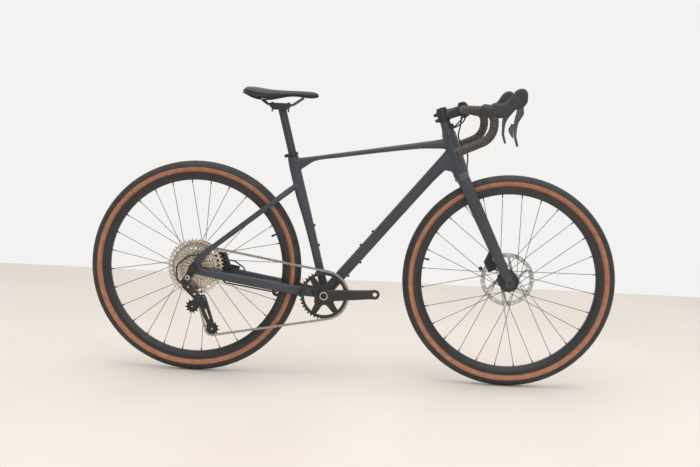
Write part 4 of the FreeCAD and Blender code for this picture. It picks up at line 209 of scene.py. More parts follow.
# brushed and grey anodised lever blades: satin, with the light spread along them
leverAlloy = finish("grey anodised lever", {
    "low": "3d3e40", "high": "4a4b4d", "patch": 25, "wipe": 7, "grain": 0.6, "relief": 0.05,
    "rough": (0.28, 0.38), "metal": 0, "ior": 1.6,
})[0]
# rolled chain plates under a film of oil: darker than the cogs, with dark oil and painted shade between the
# links and the open edges left bright
chainSteel = finish("oiled steel chain", {
    "low": "8a857d", "high": "c2beb6", "patch": 4, "wipe": 3, "grain": 0.5, "relief": 0.08,
    "rough": (0.26, 0.42), "metal": 1,
})[0]
# ground bearing steel: cold, bright and tight in its gloss
bearingSteel = finish("ground bearing steel", {
    "low": "8f9194", "high": "b5b7ba", "patch": 9, "wipe": 4, "grain": 0.5, "relief": 0.05,
    "rough": (0.18, 0.30), "metal": 1,
})[0]
# glass-filled nylon out of the mould: dead black with a fine spark-eroded texture
mouldedNylon = finish("moulded glass filled nylon", {
    "low": "161718", "high": "1d1e1f", "patch": 22, "wipe": 7, "grain": 0.8, "relief": 0.14,
    "rough": (0.48, 0.60), "metal": 0, "ior": 1.53,
})[0]
# extruded nylon jacket on the hoses, smooth and half glossy
hoseJacket = finish("extruded nylon jacket", {
    "low": "1a1a1b", "high": "232324", "patch": 30, "wipe": 10, "grain": 0.7, "relief": 0.04,
    "rough": (0.34, 0.44), "metal": 0, "ior": 1.53,
})[0]
# extruded aluminium rim, bead blasted and anodised black: even and nearly matt
rimAlloy = finish("black anodised rim", {
    "low": "1c1c1d", "high": "242425", "patch": 60, "wipe": 18, "grain": 0.9, "relief": 0.05,
    "rough": (0.40, 0.52), "metal": 0, "ior": 1.6,
})[0]
# sintered pad compound: brown-grey and crumbly, with no gloss
padCompound = finish("sintered pad compound", {
    "low": "4a3d33", "high": "66584c", "patch": 3, "wipe": 2, "grain": 0.8, "relief": 0.3,
    "rough": (0.7, 0.85), "metal": 0, "ior": 1.6,
})[0]
print("plain finishes made")


def paint(material, *names):
    for name in names:
        data = nodes[name].data
        data.materials.clear()
        data.materials.append(material)


# 0 inside a radius and 1 outside it, over an edge of that many millimetres; spot is seen from the axle
def outsideOf(tree, spot, radius, edge):
    far = addNode(tree, "ShaderNodeVectorMath", {"operation": "LENGTH"}, {0: spot})
    step = addNode(
        tree, "ShaderNodeMapRange",
        {"From Min": (radius - edge / 2) * mm, "From Max": (radius + edge / 2) * mm},
        {"Value": far.outputs["Value"]},
    )
    return step.outputs["Result"]


# closed and open are the shares of open air where the dark oil and painted shade are full and where they are
# gone
oilAndShadeLook = {"low": "2b2620", "high": "4a4338", "film": 5, "closed": 0.3, "open": 0.8, "samples": 8}


# painted shade with thin dark oil: the colour darkens where plates and teeth stand closer together than
# reach, as if shade falls there
def oilAndShadeInCorners(material, reach):
    tree = material.node_tree
    shader = next(node for node in tree.nodes if node.type == "BSDF_PRINCIPLED")
    plate = shader.inputs["Base Color"].links[0].from_socket
    place = addNode(tree, "ShaderNodeTexCoord").outputs["Object"]
    film = addNode(
        tree, "ShaderNodeTexNoise", {"Scale": grainScale(oilAndShadeLook["film"]), "Detail": 2}, {"Vector": place}
    )
    stops = cloudStops(oilAndShadeLook["low"], oilAndShadeLook["high"])
    oilAndShadeColour = addNode(tree, "ShaderNodeValToRGB", None, {"Fac": film.outputs["Fac"]}, stops)
    # the share of open air round each spot, from ambient occlusion, sets where painted shade and dark oil
    # cover the plate colour
    gap = addNode(
        tree, "ShaderNodeAmbientOcclusion", {"Distance": reach * mm, "samples": oilAndShadeLook["samples"]}
    )
    clear = addNode(
        tree, "ShaderNodeMapRange", {"From Min": oilAndShadeLook["closed"], "From Max": oilAndShadeLook["open"]},
        {"Value": gap.outputs["AO"]},
    )
    # sockets 0, 6 and 7 are the share and the two colours, and 2 is the mixed one
    mix = addNode(
        tree, "ShaderNodeMix", {"data_type": "RGBA"},
        {0: clear.outputs["Result"], 6: oilAndShadeColour.outputs["Color"], 7: plate},
    )
    tree.links.new(mix.outputs[2], shader.inputs["Base Color"])


# painted shade with dark oil in the gaps between the cogs and between the chain's links
oilAndShadeInCorners(nickelSteel, 9)
oilAndShadeInCorners(chainSteel, 5)

tyreLook = {
    "tanFrom": 314.5, "tanTo": 334.0, "edge": 0.8, "tanLow": "a16b50", "tanHigh": "b57d60", "worn": 18,
    "thread": 1.1, "threadDeep": 0.2, "treadFrom": 344.0, "treadEdge": 3, "treadDeep": 1.5,
    "blocks": 240, "row": 6.2, "groove": 0.13,
}


# rubber tyre with a bare tan casing: dry black tread, and cotton threads under the tan skin, drawn at 1.1 mm
def tyreRubber(name, axle):
    look = tyreLook
    material, tree, shader, place = finish(name, {
        "low": "2c2c2b", "high": "363634", "patch": 40, "wipe": 10, "grain": 0.9, "relief": 0.2,
        "rough": (0.55, 0.68), "metal": 0, "ior": 1.52,
    })
    black = shader.inputs["Base Color"].links[0].from_socket
    fromAxle = {"Location": tuple(-axle * mm), "Scale": (1, 0, 1)}
    spot = addNode(tree, "ShaderNodeMapping", fromAxle, {"Vector": place}).outputs["Vector"]
    worn = addNode(
        tree, "ShaderNodeTexNoise", {"Scale": grainScale(look["worn"]), "Detail": 5}, {"Vector": place}
    )
    stops = cloudStops(look["tanLow"], look["tanHigh"])
    tan = addNode(tree, "ShaderNodeValToRGB", None, {"Fac": worn.outputs["Fac"]}, stops)
    inner = outsideOf(tree, spot, look["tanFrom"], look["edge"])
    outer = outsideOf(tree, spot, look["tanTo"], look["edge"])
    band = addNode(tree, "ShaderNodeMath", {"operation": "SUBTRACT"}, {0: inner, 1: outer})
    mix = addNode(
        tree, "ShaderNodeMix", {"data_type": "RGBA"}, {0: band.outputs[0], 6: black, 7: tan.outputs["Color"]}
    )
    tree.links.new(mix.outputs[2], shader.inputs["Base Color"])
    thread = addNode(
        tree, "ShaderNodeTexWave",
        {"Scale": waveScale(look["thread"]), "Distortion": 0.4, "bands_direction": "DIAGONAL"},
        {"Vector": place},
    )
    weave = addNode(
        tree, "ShaderNodeBump", {"Strength": 0.12, "Distance": look["threadDeep"] * mm},
        {"Height": thread.outputs["Fac"], "Normal": shader.inputs["Normal"].links[0].from_socket},
    )
    # moulded blocks of 9 by 6 mm round the crown of the tyre, pressed in as relief
    low = addNode(tree, "ShaderNodeSeparateXYZ", None, {0: spot}).outputs
    turn = addNode(tree, "ShaderNodeMath", {"operation": "ARCTAN2"}, {0: low["Z"], 1: low["X"]})
    share = addNode(tree, "ShaderNodeMath", {"operation": "MULTIPLY", 1: 0.5 / math.pi}, {0: turn.outputs[0]})
    wide = addNode(tree, "ShaderNodeSeparateXYZ", None, {0: place})
    flat = addNode(tree, "ShaderNodeCombineXYZ", None, {"X": share.outputs[0], "Y": wide.outputs["Y"]})
    perMetre = {"Scale": (look["blocks"], 1000 / look["row"], 1)}
    blocks = addNode(tree, "ShaderNodeMapping", perMetre, {"Vector": flat.outputs[0]})
    grooves = addNode(
        tree, "ShaderNodeTexBrick",
        {"Scale": 1, "Brick Width": 1, "Row Height": 1, "Mortar Size": look["groove"], "Mortar Smooth": 0.4},
        {"Vector": blocks.outputs["Vector"]},
    )
    crown = outsideOf(tree, spot, look["treadFrom"], look["treadEdge"])
    deep = addNode(tree, "ShaderNodeMath", {"operation": "MULTIPLY"}, {0: grooves.outputs["Fac"], 1: crown})
    tread = addNode(
        tree, "ShaderNodeBump", {"Strength": 0.9, "Distance": look["treadDeep"] * mm, "invert": True},
        {"Height": deep.outputs[0], "Normal": weave.outputs["Normal"]},
    )
    tree.links.new(tread.outputs["Normal"], shader.inputs["Normal"])
    return material


frontRubber = tyreRubber("front tyre rubber", frontAxle)
rearRubber = tyreRubber("rear tyre rubber", rearAxle)

rotorLook = {
    "spider": 36.0, "edge": 0.6, "spiderLow": "191a1b", "spiderHigh": "222324", "cloud": 9,
    "scratch": 1.2, "scratchDeep": 0.1,
}


# stamped stainless rotor, ground and then scored in rings by the pads, on a black spider
# the rings are drawn at 1.2 mm to show
def rotorSteel(name, axle):
    look = rotorLook
    material, tree, shader, place = finish(name, {
        "low": "b4b5b7", "high": "d2d3d5", "patch": 8, "wipe": 3, "grain": 0.5, "relief": 0.06,
        "rough": (0.22, 0.36), "metal": 1,
    })
    bright = shader.inputs["Base Color"].links[0].from_socket
    fromAxle = {"Location": tuple(-axle * mm), "Scale": (1, 0, 1)}
    spot = addNode(tree, "ShaderNodeMapping", fromAxle, {"Vector": place}).outputs["Vector"]
    cloud = addNode(tree, "ShaderNodeTexNoise", {"Scale": grainScale(look["cloud"])}, {"Vector": place})
    stops = cloudStops(look["spiderLow"], look["spiderHigh"])
    dark = addNode(tree, "ShaderNodeValToRGB", None, {"Fac": cloud.outputs["Fac"]}, stops)
    steel = outsideOf(tree, spot, look["spider"], look["edge"])
    mix = addNode(
        tree, "ShaderNodeMix", {"data_type": "RGBA"}, {0: steel, 6: dark.outputs["Color"], 7: bright}
    )
    tree.links.new(mix.outputs[2], shader.inputs["Base Color"])
    tree.links.new(steel, shader.inputs["Metallic"])
    rings = addNode(
        tree, "ShaderNodeTexWave",
        {
            "wave_type": "RINGS", "rings_direction": "Y", "Scale": waveScale(look["scratch"]),
            "Distortion": 1.5,
        },
        {"Vector": spot},
    )
    score = addNode(
        tree, "ShaderNodeBump", {"Strength": 0.12, "Distance": look["scratchDeep"] * mm},
        {"Height": rings.outputs["Fac"], "Normal": shader.inputs["Normal"].links[0].from_socket},
    )
    tree.links.new(score.outputs["Normal"], shader.inputs["Normal"])
    return material


frontRotorSteel = rotorSteel("front rotor stainless steel", frontAxle)
rearRotorSteel = rotorSteel("rear rotor stainless steel", rearAxle)

# synthetic leather over foam: embossed grain with soft pebbles, drawn at 1.6 mm to show
leatherLook = {
    "low": "29292b", "high": "343436", "patch": 60, "wipe": 14, "grain": 0.9, "relief": 0.1,
    "rough": (0.40, 0.52), "metal": 0, "ior": 1.5, "pebble": 1.6, "pebbleDeep": 0.2,
}
saddleSkin, tree, shader, place = finish("synthetic leather", leatherLook)
pebble = addNode(
    tree, "ShaderNodeTexVoronoi", {"Scale": grainScale(leatherLook["pebble"]), "feature": "DISTANCE_TO_EDGE"},
    {"Vector": place},
)
emboss = addNode(
    tree, "ShaderNodeBump", {"Strength": 0.25, "Distance": leatherLook["pebbleDeep"] * mm},
    {"Height": pebble.outputs["Distance"], "Normal": shader.inputs["Normal"].links[0].from_socket},
)
tree.links.new(emboss.outputs["Normal"], shader.inputs["Normal"])

# foamed polyurethane tape: brown-black, dry, with pressed pores, drawn at 1.5 mm
foamLook = {
    "low": "332d2a", "high": "4a433f", "patch": 16, "wipe": 8, "grain": 0.9, "relief": 0.2,
    "rough": (0.50, 0.66), "metal": 0, "ior": 1.5, "pore": 1.5, "poreDeep": 0.25,
    "rubLow": "4c4642", "rubHigh": "665f5a", "rub": 7,
}
tapeFoam, tree, shader, place = finish("foamed polyurethane tape", foamLook)
pore = addNode(tree, "ShaderNodeTexVoronoi", {"Scale": grainScale(foamLook["pore"])}, {"Vector": place})
press = addNode(
    tree, "ShaderNodeBump", {"Strength": 0.3, "Distance": foamLook["poreDeep"] * mm},
    {"Height": pore.outputs["Distance"], "Normal": shader.inputs["Normal"].links[0].from_socket},
)
tree.links.new(press.outputs["Normal"], shader.inputs["Normal"])
# the raised edge of each turn is rubbed paler by hands
wrap = addNode(tree, "ShaderNodeAttribute", {"attribute_name": "wrap"})
rub = addNode(
    tree, "ShaderNodeTexNoise", {"Scale": grainScale(foamLook["rub"]), "Detail": 4}, {"Vector": place}
)
stops = cloudStops(foamLook["rubLow"], foamLook["rubHigh"])
dust = addNode(tree, "ShaderNodeValToRGB", None, {"Fac": rub.outputs["Fac"]}, stops)
foam = shader.inputs["Base Color"].links[0].from_socket
mix = addNode(
    tree, "ShaderNodeMix", {"data_type": "RGBA"}, {0: wrap.outputs["Fac"], 6: foam, 7: dust.outputs["Color"]}
)
tree.links.new(mix.outputs[2], shader.inputs["Base Color"])

# moulded rubber hood: dull, with rows of pressed dots, drawn at 2.2 mm
rubberLook = {
    "low": "2c2d2f", "high": "363739", "patch": 30, "wipe": 9, "grain": 0.8, "relief": 0.12,
    "rough": (0.56, 0.70), "metal": 0, "ior": 1.52, "dot": 2.2, "dotDeep": 0.25,
}
hoodRubber, tree, shader, place = finish("moulded rubber hood", rubberLook)
dots = addNode(
    tree, "ShaderNodeTexVoronoi", {"Scale": grainScale(rubberLook["dot"]), "Randomness": 0.15},
    {"Vector": place},
)
pimples = addNode(
    tree, "ShaderNodeBump", {"Strength": 0.2, "Distance": rubberLook["dotDeep"] * mm},
    {"Height": dots.outputs["Distance"], "Normal": shader.inputs["Normal"].links[0].from_socket},
)
tree.links.new(pimples.outputs["Normal"], shader.inputs["Normal"])
print("wheel, leather, tape and rubber finishes made")

paint(framePaint, "main_frame", "rear_triangle", "fork", "headset_cover")
paint(
    blackAlloy, "derailleur_hanger", "bottom_bracket_cups", "seat_collar", "stem", "stem_faceplate",
    "handlebar", "front_brake_caliper", "rear_brake_caliper", "front_hub", "rear_hub", "saddle_cradle",
    "freehub_body", "front_axle", "rear_axle", "chainring", "derailleur_knuckle", "derailleur_lower_knuckle",
    "derailleur_outer_link", "derailleur_inner_link", "derailleur_cage", "steering_fasteners",
    "front_valve", "rear_valve", "frame_bolts",
)
paint(leverAlloy, "left_brake_lever", "right_brake_lever", "shift_paddle")
paint(forgedCrank, "right_crank", "left_crank")
paint(greyAlloy, "seat_post")
paint(nickelSteel, "cassette")
paint(chainSteel, "chain")
paint(blackSteel, "front_spokes", "rear_spokes", "saddle_rails")
paint(bearingSteel, "headset_bearings")
paint(mouldedNylon, "saddle_shell", "guide_pulley", "tension_pulley", "bar_plugs")
paint(hoseJacket, "frame_hoses", "steering_hoses")
paint(rimAlloy, "front_rim", "rear_rim")
paint(padCompound, "front_pad_left", "front_pad_right", "rear_pad_left", "rear_pad_right")
paint(frontRubber, "front_tyre")
paint(rearRubber, "rear_tyre")
paint(frontRotorSteel, "front_rotor")
paint(rearRotorSteel, "rear_rotor")
paint(hoodRubber, "right_lever_body", "left_lever_body")
paint(tapeFoam, "bar_tape")
paint(saddleSkin, "saddle_cover")
print("solids painted")


# meshes: points come in millimetres
def meshObject(name, points, faces, material):
    mesh = bpy.data.meshes.new(name)
    mesh.from_pydata([p * mm for p in points], [], faces)
    mesh.materials.append(material)
    obj = bpy.data.objects.new(name, mesh)
    bpy.context.scene.collection.objects.link(obj)
    bm = bmesh.new()
    bm.from_mesh(mesh)
    bmesh.ops.recalc_face_normals(bm, faces=bm.faces)
    bm.to_mesh(mesh)
    bm.free()
    for face in mesh.polygons:
        face.use_smooth = True
    return obj


# the modifiers' result becomes the mesh itself
def settle(obj):
    bpy.context.view_layer.update()
    graph = bpy.context.evaluated_depsgraph_get()
    mesh = bpy.data.meshes.new_from_object(obj.evaluated_get(graph))
    materials = list(obj.data.materials)
    obj.modifiers.clear()
    obj.data = mesh
    if not mesh.materials:
        for material in materials:
            mesh.materials.append(material)
    for face in mesh.polygons:
        face.use_smooth = True


# curves through the rows of a table whose first column runs along
def tableRows(table, count):
    def slope(k, c):
        a, b = table[max(k - 1, 0)], table[min(k + 1, len(table) - 1)]
        middle = table[k]
        if (b[c] - middle[c]) * (middle[c] - a[c]) < 0:
            return 0.0
        return (b[c] - a[c]) / (b[0] - a[0])

    rows = []
    for i in range(count):
        x = table[0][0] + (table[-1][0] - table[0][0]) * i / (count - 1)
        k = max(j for j in range(len(table) - 1) if table[j][0] <= x + 1e-9)
        a, b = table[k], table[k + 1]
        h = b[0] - a[0]
        t = (x - a[0]) / h
        row = [x]
        for c in range(1, len(a)):
            row.append(
                a[c] * (1 + 2 * t) * (1 - t) ** 2 + b[c] * t * t * (3 - 2 * t)
                + h * (slope(k, c) * t * (1 - t) ** 2 - slope(k + 1, c) * t * t * (1 - t))
            )
        rows.append(row)
    return rows


def ovalRing(centre, wide, tall, halfWide, halfTall, count=40, square=2.6):
    ring = []
    for i in range(count):
        turn = 2 * math.pi * i / count
        c, s = math.cos(turn), math.sin(turn)
        w = math.copysign(abs(c) ** (2 / square), c) * halfWide
        t = math.copysign(abs(s) ** (2 / square), s) * halfTall
        ring.append(centre + wide * w + tall * t)
    return ring


# a skin over rings of equal count, closed at both ends; adds to the lists of points and faces
def addSkin(points, faces, rings):
    base, count = len(points), len(rings[0])
    for ring in rings:
        points.extend(ring)
    for r in range(len(rings) - 1):
        for i in range(count):
            a, b = base + r * count + i, base + r * count + (i + 1) % count
            faces.append((a, b, b + count, a + count))
    for r in (0, len(rings) - 1):
        points.append(sum(rings[r], Vector()) / count)
        middle = len(points) - 1
        for i in range(count):
            a, b = base + r * count + i, base + r * count + (i + 1) % count
            faces.append((b, a, middle) if r == 0 else (a, b, middle))


def addTube(points, faces, start, end, depth, width, shares, count=60):
    along = (end - start).normalized()
    tall = along.cross(across)
    rings = []
    for share, d, offset, w in tableRows(shares, count):
        spot = start.lerp(end, share) + tall * (offset * depth)
        rings.append(ovalRing(spot, across, tall, w * width / 2, d * depth / 2))
    addSkin(points, faces, rings)


def addStay(points, faces, start, end, side, height, width, shares, middle, count=60):
    along = (end - start).normalized()
    tall = along.cross(across)
    rings = []
    for share, out, h, w in tableRows(shares, count):
        spot = start.lerp(end, share) + across * (side * out * middle)
        rings.append(ovalRing(spot, across, tall, w * width / 2, h * height / 2))
    addSkin(points, faces, rings)


# a plate round two circles, between two sides
def addLink(points, faces, a, b, radiusA, radiusB, sideA, sideB, count=24):
    span = b - a
    heading = math.atan2(span.z, span.x)
    spread = math.acos((radiusA - radiusB) / span.length)
    outline = []
    for centre, radius, begin, turn in (
        (a, radiusA, heading + spread, 2 * math.pi - 2 * spread), (b, radiusB, heading - spread, 2 * spread)
    ):
        for i in range(count):
            angle = begin + turn * i / (count - 1)
            outline.append(centre + Vector((math.cos(angle), 0, math.sin(angle))) * radius)
    addSkin(points, faces, [[p + across * side for p in outline] for side in (sideA, sideB)])


def addRod(points, faces, start, end, radiusA, radiusB=None, count=48):
    along = (end - start).normalized()
    wide = across if abs(along.y) < 0.9 else Vector((1, 0, 0))
    tall = along.cross(wide).normalized()
    wide = tall.cross(along)
    ends = ((start, radiusA), (end, radiusB or radiusA))
    addSkin(points, faces, [ovalRing(spot, wide, tall, radius, radius, count, 2) for spot, radius in ends])


# forms grown into one skin on a voxel grid, smoothed a little all over and more round the welds
def melt(name, points, faces, material, voxel, steps, welds=(), weldSteps=0):
    obj = meshObject(name, points, faces, material)
    grid = obj.modifiers.new("grid", "REMESH")
    grid.mode = "VOXEL"
    grid.voxel_size = voxel * mm
    ease = obj.modifiers.new("ease", "SMOOTH")
    ease.iterations = steps
    ease.factor = 0.5
    settle(obj)
    if welds:
        group = obj.vertex_groups.new(name="welds")
        for vertex in obj.data.vertices:
            near = max(1 - (vertex.co / mm - spot).length / reach for spot, reach in welds)
            if near > 0:
                group.add([vertex.index], min(1, near * 2), "REPLACE")
        ease = obj.modifiers.new("weld", "SMOOTH")
        ease.iterations = weldSteps
        ease.factor = 0.5
        ease.vertex_group = "welds"
        settle(obj)
        obj.vertex_groups.clear()
    return obj


# rows of a tube: share along it, then depth, offset and width as shares of its own depth and width
# rows of a stay: share along it, then how far out, height and width as shares of its own sizes
frameTubes = {
    "voxel": 1.8, "ease": 5, "weldEase": 34,
    "topTube": {"rear": 455, "front": 106, "depth": 22, "width": 36, "rows": [
        (0.00, 1.95, -0.55, 0.80), (0.05, 1.65, -0.40, 0.80), (0.13, 0.78, 0.02, 0.80),
        (0.30, 0.74, 0.06, 0.84), (0.78, 0.95, 0.00, 0.96), (0.90, 1.30, -0.14, 1.00),
        (1.00, 1.70, -0.30, 1.02),
    ]},
    "downTube": {"front": 75, "depth": 38, "width": 42, "rows": [
        (0.00, 0.96, 0.00, 1.10), (0.25, 0.96, 0.00, 1.04), (0.80, 1.00, 0.00, 0.98),
        (0.91, 1.14, -0.06, 0.98), (1.00, 1.34, -0.14, 1.00),
    ]},
    "seatTube": {"depth": 35, "width": 35, "rows": [
        (0.00, 0.79, -0.06, 1.08), (0.40, 0.83, -0.05, 1.06), (0.58, 0.93, -0.01, 1.02),
        (0.72, 1.06, 0.06, 1.00), (0.92, 1.06, 0.07, 1.00), (1.00, 1.04, 0.02, 1.02),
    ]},
    "chainStay": {"startDrop": 3, "endDrop": 7.5, "height": 31, "width": 16, "rows": [
        (0.035, 0.29, 0.84, 0.94), (0.10, 0.40, 0.94, 0.86), (0.18, 0.485, 1.00, 0.80),
        (0.313, 0.62, 1.00, 1.00), (0.55, 0.75, 0.99, 1.06), (0.74, 0.87, 0.92, 0.94),
        (0.85, 0.97, 0.76, 0.56), (0.97, 1.00, 0.62, 0.48),
    ]},
    "seatStay": {"start": 380, "endRise": 23, "height": 19, "width": 13, "rows": [
        (0.00, 0.11, 1.05, 1.00), (0.10, 0.30, 1.05, 1.00), (0.20, 0.46, 1.00, 1.00),
        (0.50, 0.70, 0.98, 0.98), (0.72, 0.88, 0.95, 0.88), (0.86, 0.97, 0.88, 0.66),
        (0.98, 1.00, 0.82, 0.57),
    ]},
    "headTube": {"low": 26.5, "high": 24.0},
    "shell": {"half": 34, "radius": 23.0},
    "gusset": {
        "ahead": 10.0, "up": 16.0, "down": 62.0, "out": 8, "half": 15.0, "footRadius": 15.0,
        "endRadius": 11.0,
    },
    "dropout": {
        "inner": 71.0, "outer": 79.0, "middle": 75.0, "radius": 16.0, "reach": 0.905, "chainTip": 9.6,
        "seatTip": 7.8,
    },
    "bridge": {"share": 0.165, "half": 30, "radius": 5.0},
    "welds": {
        "headShare": 0.55, "headBack": 22, "topAhead": 12, "stayBack": 14,
        "headReach": 75, "topReach": 60, "shellReach": 70, "stayReach": 45, "gussetReach": 60,
    },
}


def frameSkin():
    look = frameTubes
    points, faces = [], []
    top, down, seat = look["topTube"], look["downTube"], look["seatTube"]
    topRear = bracket + seatUp * top["rear"]
    topFront = headFoot + steerUp * top["front"]
    downFront = headFoot + steerUp * down["front"]
    addTube(points, faces, topRear, topFront, top["depth"], top["width"], top["rows"])
    addTube(points, faces, bracket, downFront, down["depth"], down["width"], down["rows"])
    addTube(points, faces, bracket, collarFoot, seat["depth"], seat["width"], seat["rows"])
    addRod(points, faces, headFoot, headCrest, look["headTube"]["low"], look["headTube"]["high"])
    shellHalf = across * look["shell"]["half"]
    addRod(points, faces, bracket - shellHalf, bracket + shellHalf, look["shell"]["radius"])
    gusset = look["gusset"]
    downAlong = (bracket - downFront).normalized()
    gussetFoot = headFoot + steerUp * gusset["up"] - steerAhead * gusset["ahead"]
    gussetEnd = downFront + downAlong * gusset["down"] + downAlong.cross(across) * gusset["out"]
    addLink(
        points, faces, gussetFoot, gussetEnd, gusset["footRadius"], gusset["endRadius"],
        -gusset["half"], gusset["half"],
    )
    chain, stay, drop = look["chainStay"], look["seatStay"], look["dropout"]
    chainStart, chainEnd = bracket - up * chain["startDrop"], rearAxle - up * chain["endDrop"]
    seatStart, seatEnd = bracket + seatUp * stay["start"], rearAxle + up * stay["endRise"]
    chainTip, seatTip = chainStart.lerp(chainEnd, drop["reach"]), seatStart.lerp(seatEnd, drop["reach"])
    for side in (right, left):
        for form, start, end in ((chain, chainStart, chainEnd), (stay, seatStart, seatEnd)):
            sizes = (form["height"], form["width"], form["rows"], drop["middle"])
            addStay(points, faces, start, end, side, *sizes)
        inner, outer = side * drop["inner"], side * drop["outer"]
        addLink(points, faces, rearAxle, chainTip, drop["radius"], drop["chainTip"], inner, outer)
        addLink(points, faces, rearAxle, seatTip, drop["radius"], drop["seatTip"], inner, outer)
    bridge = seatStart.lerp(seatEnd, look["bridge"]["share"])
    bridgeHalf = across * look["bridge"]["half"]
    addRod(points, faces, bridge - bridgeHalf, bridge + bridgeHalf, look["bridge"]["radius"])
    weld = look["welds"]
    welds = [
        (headFoot.lerp(headCrest, weld["headShare"]) - steerAhead * weld["headBack"], weld["headReach"]),
        (topRear + seatAhead * weld["topAhead"], weld["topReach"]),
        (bracket, weld["shellReach"]),
        (seatStart - seatAhead * weld["stayBack"], weld["stayReach"]),
        (gussetFoot, weld["gussetReach"]),
    ]
    steps, weldSteps = look["ease"], look["weldEase"]
    return melt("frame_skin", points, faces, framePaint, look["voxel"], steps, welds, weldSteps)


frameBody = frameSkin()
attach(frameBody, "frame")
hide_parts("main_frame", "rear_triangle")
print("frame skin made:", len(frameBody.data.polygons), "faces")

# rows of the crown: down, half width and half depth in millimetres; rows of a leg as a stay's
forkForm = {
    "voxel": 1.5, "ease": 5, "weldEase": 26,
    "crown": [(0.0, 26.5, 26.5), (10.5, 36.25, 25.0), (30.0, 46.0, 21.0)], "crownRings": 16,
    "legs": [
        (0.055, 0.66, 1.02, 1.00), (0.16, 0.70, 1.00, 1.00), (0.40, 0.78, 0.96, 0.90),
        (0.70, 0.88, 0.86, 0.76), (0.90, 0.975, 0.76, 0.64), (0.965, 1.00, 0.66, 0.56),
    ],
    "legDepth": 41.0, "legWidth": 19.0, "legMiddle": 55.5,
    "endRadius": 16.0, "endInner": 50.0, "endOuter": 61.0,
    "weldDown": 26, "weldOut": 34, "weldReach": 40,
}


def forkSkin():
    look = forkForm
    points, faces, rings, welds = [], [], [], []
    for down, wide, deep in tableRows(look["crown"], look["crownRings"]):
        rings.append(ovalRing(crownRace - steerUp * down, across, steerAhead, wide, deep))
    addSkin(points, faces, rings)
    for side in (right, left):
        addStay(
            points, faces, crownRace, frontAxle, side, look["legDepth"], look["legWidth"], look["legs"],
            look["legMiddle"],
        )
        inner, outer = across * (side * look["endInner"]), across * (side * look["endOuter"])
        addRod(points, faces, frontAxle + inner, frontAxle + outer, look["endRadius"])
        shoulder = crownRace - steerUp * look["weldDown"] + across * (side * look["weldOut"])
        welds.append((shoulder, look["weldReach"]))
    steps, weldSteps = look["ease"], look["weldEase"]
    return melt("fork_skin", points, faces, framePaint, look["voxel"], steps, welds, weldSteps)


forkBody = forkSkin()
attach(forkBody, "steering")
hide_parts("fork")
print("fork skin made:", len(forkBody.data.polygons), "faces")

# rows: share of the length, half width as a share of the width, then the heights of crown, edge and foot
# as shares of the thickness
saddleForm = {
    "length": 249.0, "width": 148.0, "setback": 130.0, "rise": 45.0, "thickness": 20.0, "footShare": 0.80,
    "rows": [
        (0.00, 0.30, 0.95, 0.70, 0.45), (0.06, 0.43, 1.40, 0.80, 0.20), (0.18, 0.50, 1.36, 0.55, -0.40),
        (0.36, 0.40, 1.08, 0.34, -0.45), (0.55, 0.22, 1.00, 0.45, 0.05), (0.70, 0.16, 1.00, 0.52, 0.24),
        (0.86, 0.135, 0.98, 0.48, 0.06), (0.95, 0.12, 0.88, 0.46, 0.12), (1.00, 0.06, 0.58, 0.46, 0.34),
    ],
    "rings": 56, "topSteps": 14, "edgeSteps": 8, "underShares": (0.75, 0.4),
    "crownOut": 0.92, "crownDown": 1.25, "tuckIn": 2.2, "tuckDown": 1.15,
}


# foam under a stretched cover: crowned on top, rolled over the edge and drawn in to the shell below
def saddleCover():
    look = saddleForm
    base = postCrest.z + look["rise"]
    points, faces, rings = [], [], []
    for along, half, top, edge, foot in tableRows(look["rows"], look["rings"]):
        x = postCrest.x - look["setback"] + along * look["length"]
        wide = half * look["width"]
        zTop, zEdge, zFoot = (base + share * look["thickness"] for share in (top, edge, foot))
        halfRing = []
        for i in range(look["topSteps"] + 1):
            turn = math.pi / 2 * i / look["topSteps"]
            crown = math.cos(turn) ** look["crownDown"]
            halfRing.append((wide * math.sin(turn) ** look["crownOut"], zEdge + (zTop - zEdge) * crown))
        for i in range(1, look["edgeSteps"] + 1):
            t = i / look["edgeSteps"]
            tuck = wide * (1 - (1 - look["footShare"]) * t ** look["tuckIn"])
            halfRing.append((tuck, zEdge + (zFoot - zEdge) * (1 - (1 - t) ** look["tuckDown"])))
        for share in look["underShares"]:
            halfRing.append((wide * look["footShare"] * share, zFoot))
        ring = [Vector((x, y, z)) for y, z in halfRing]
        ring += [Vector((x, -y, z)) for y, z in reversed(halfRing[1:])]
        rings.append(ring)
    addSkin(points, faces, rings)
    obj = meshObject("saddle_cover_skin", points, faces, saddleSkin)
    ease = obj.modifiers.new("ease", "SMOOTH")
    ease.iterations = 3
    fine = obj.modifiers.new("fine", "SUBSURF")
    fine.levels = 1
    settle(obj)
    return obj


saddleTop = saddleCover()
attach(saddleTop, "seat_post")
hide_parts("saddle_cover")
print("saddle cover made")

# the bar's corners are seen from its middle, and inset keeps the strip just within the solid's thickness
tapeForm = {
    "barRadius": 11.95, "thin": 1.5, "thick": 2.8, "inset": 0.08, "pitch": 11.5, "edge": 0.16, "start": 62.0,
    "step": 1.0, "around": 40, "bends": [50.0, 38.0, 64.0],
    "bar": [(0, 0, 0), (0, 168, 0), (90, 208, 0), (90, 216, -84), (-25, 238, -136)],
    "sleeve": 26.0, "sleeveBack": 0.25, "rubFrom": 1.5, "rubGain": 2.5,
}


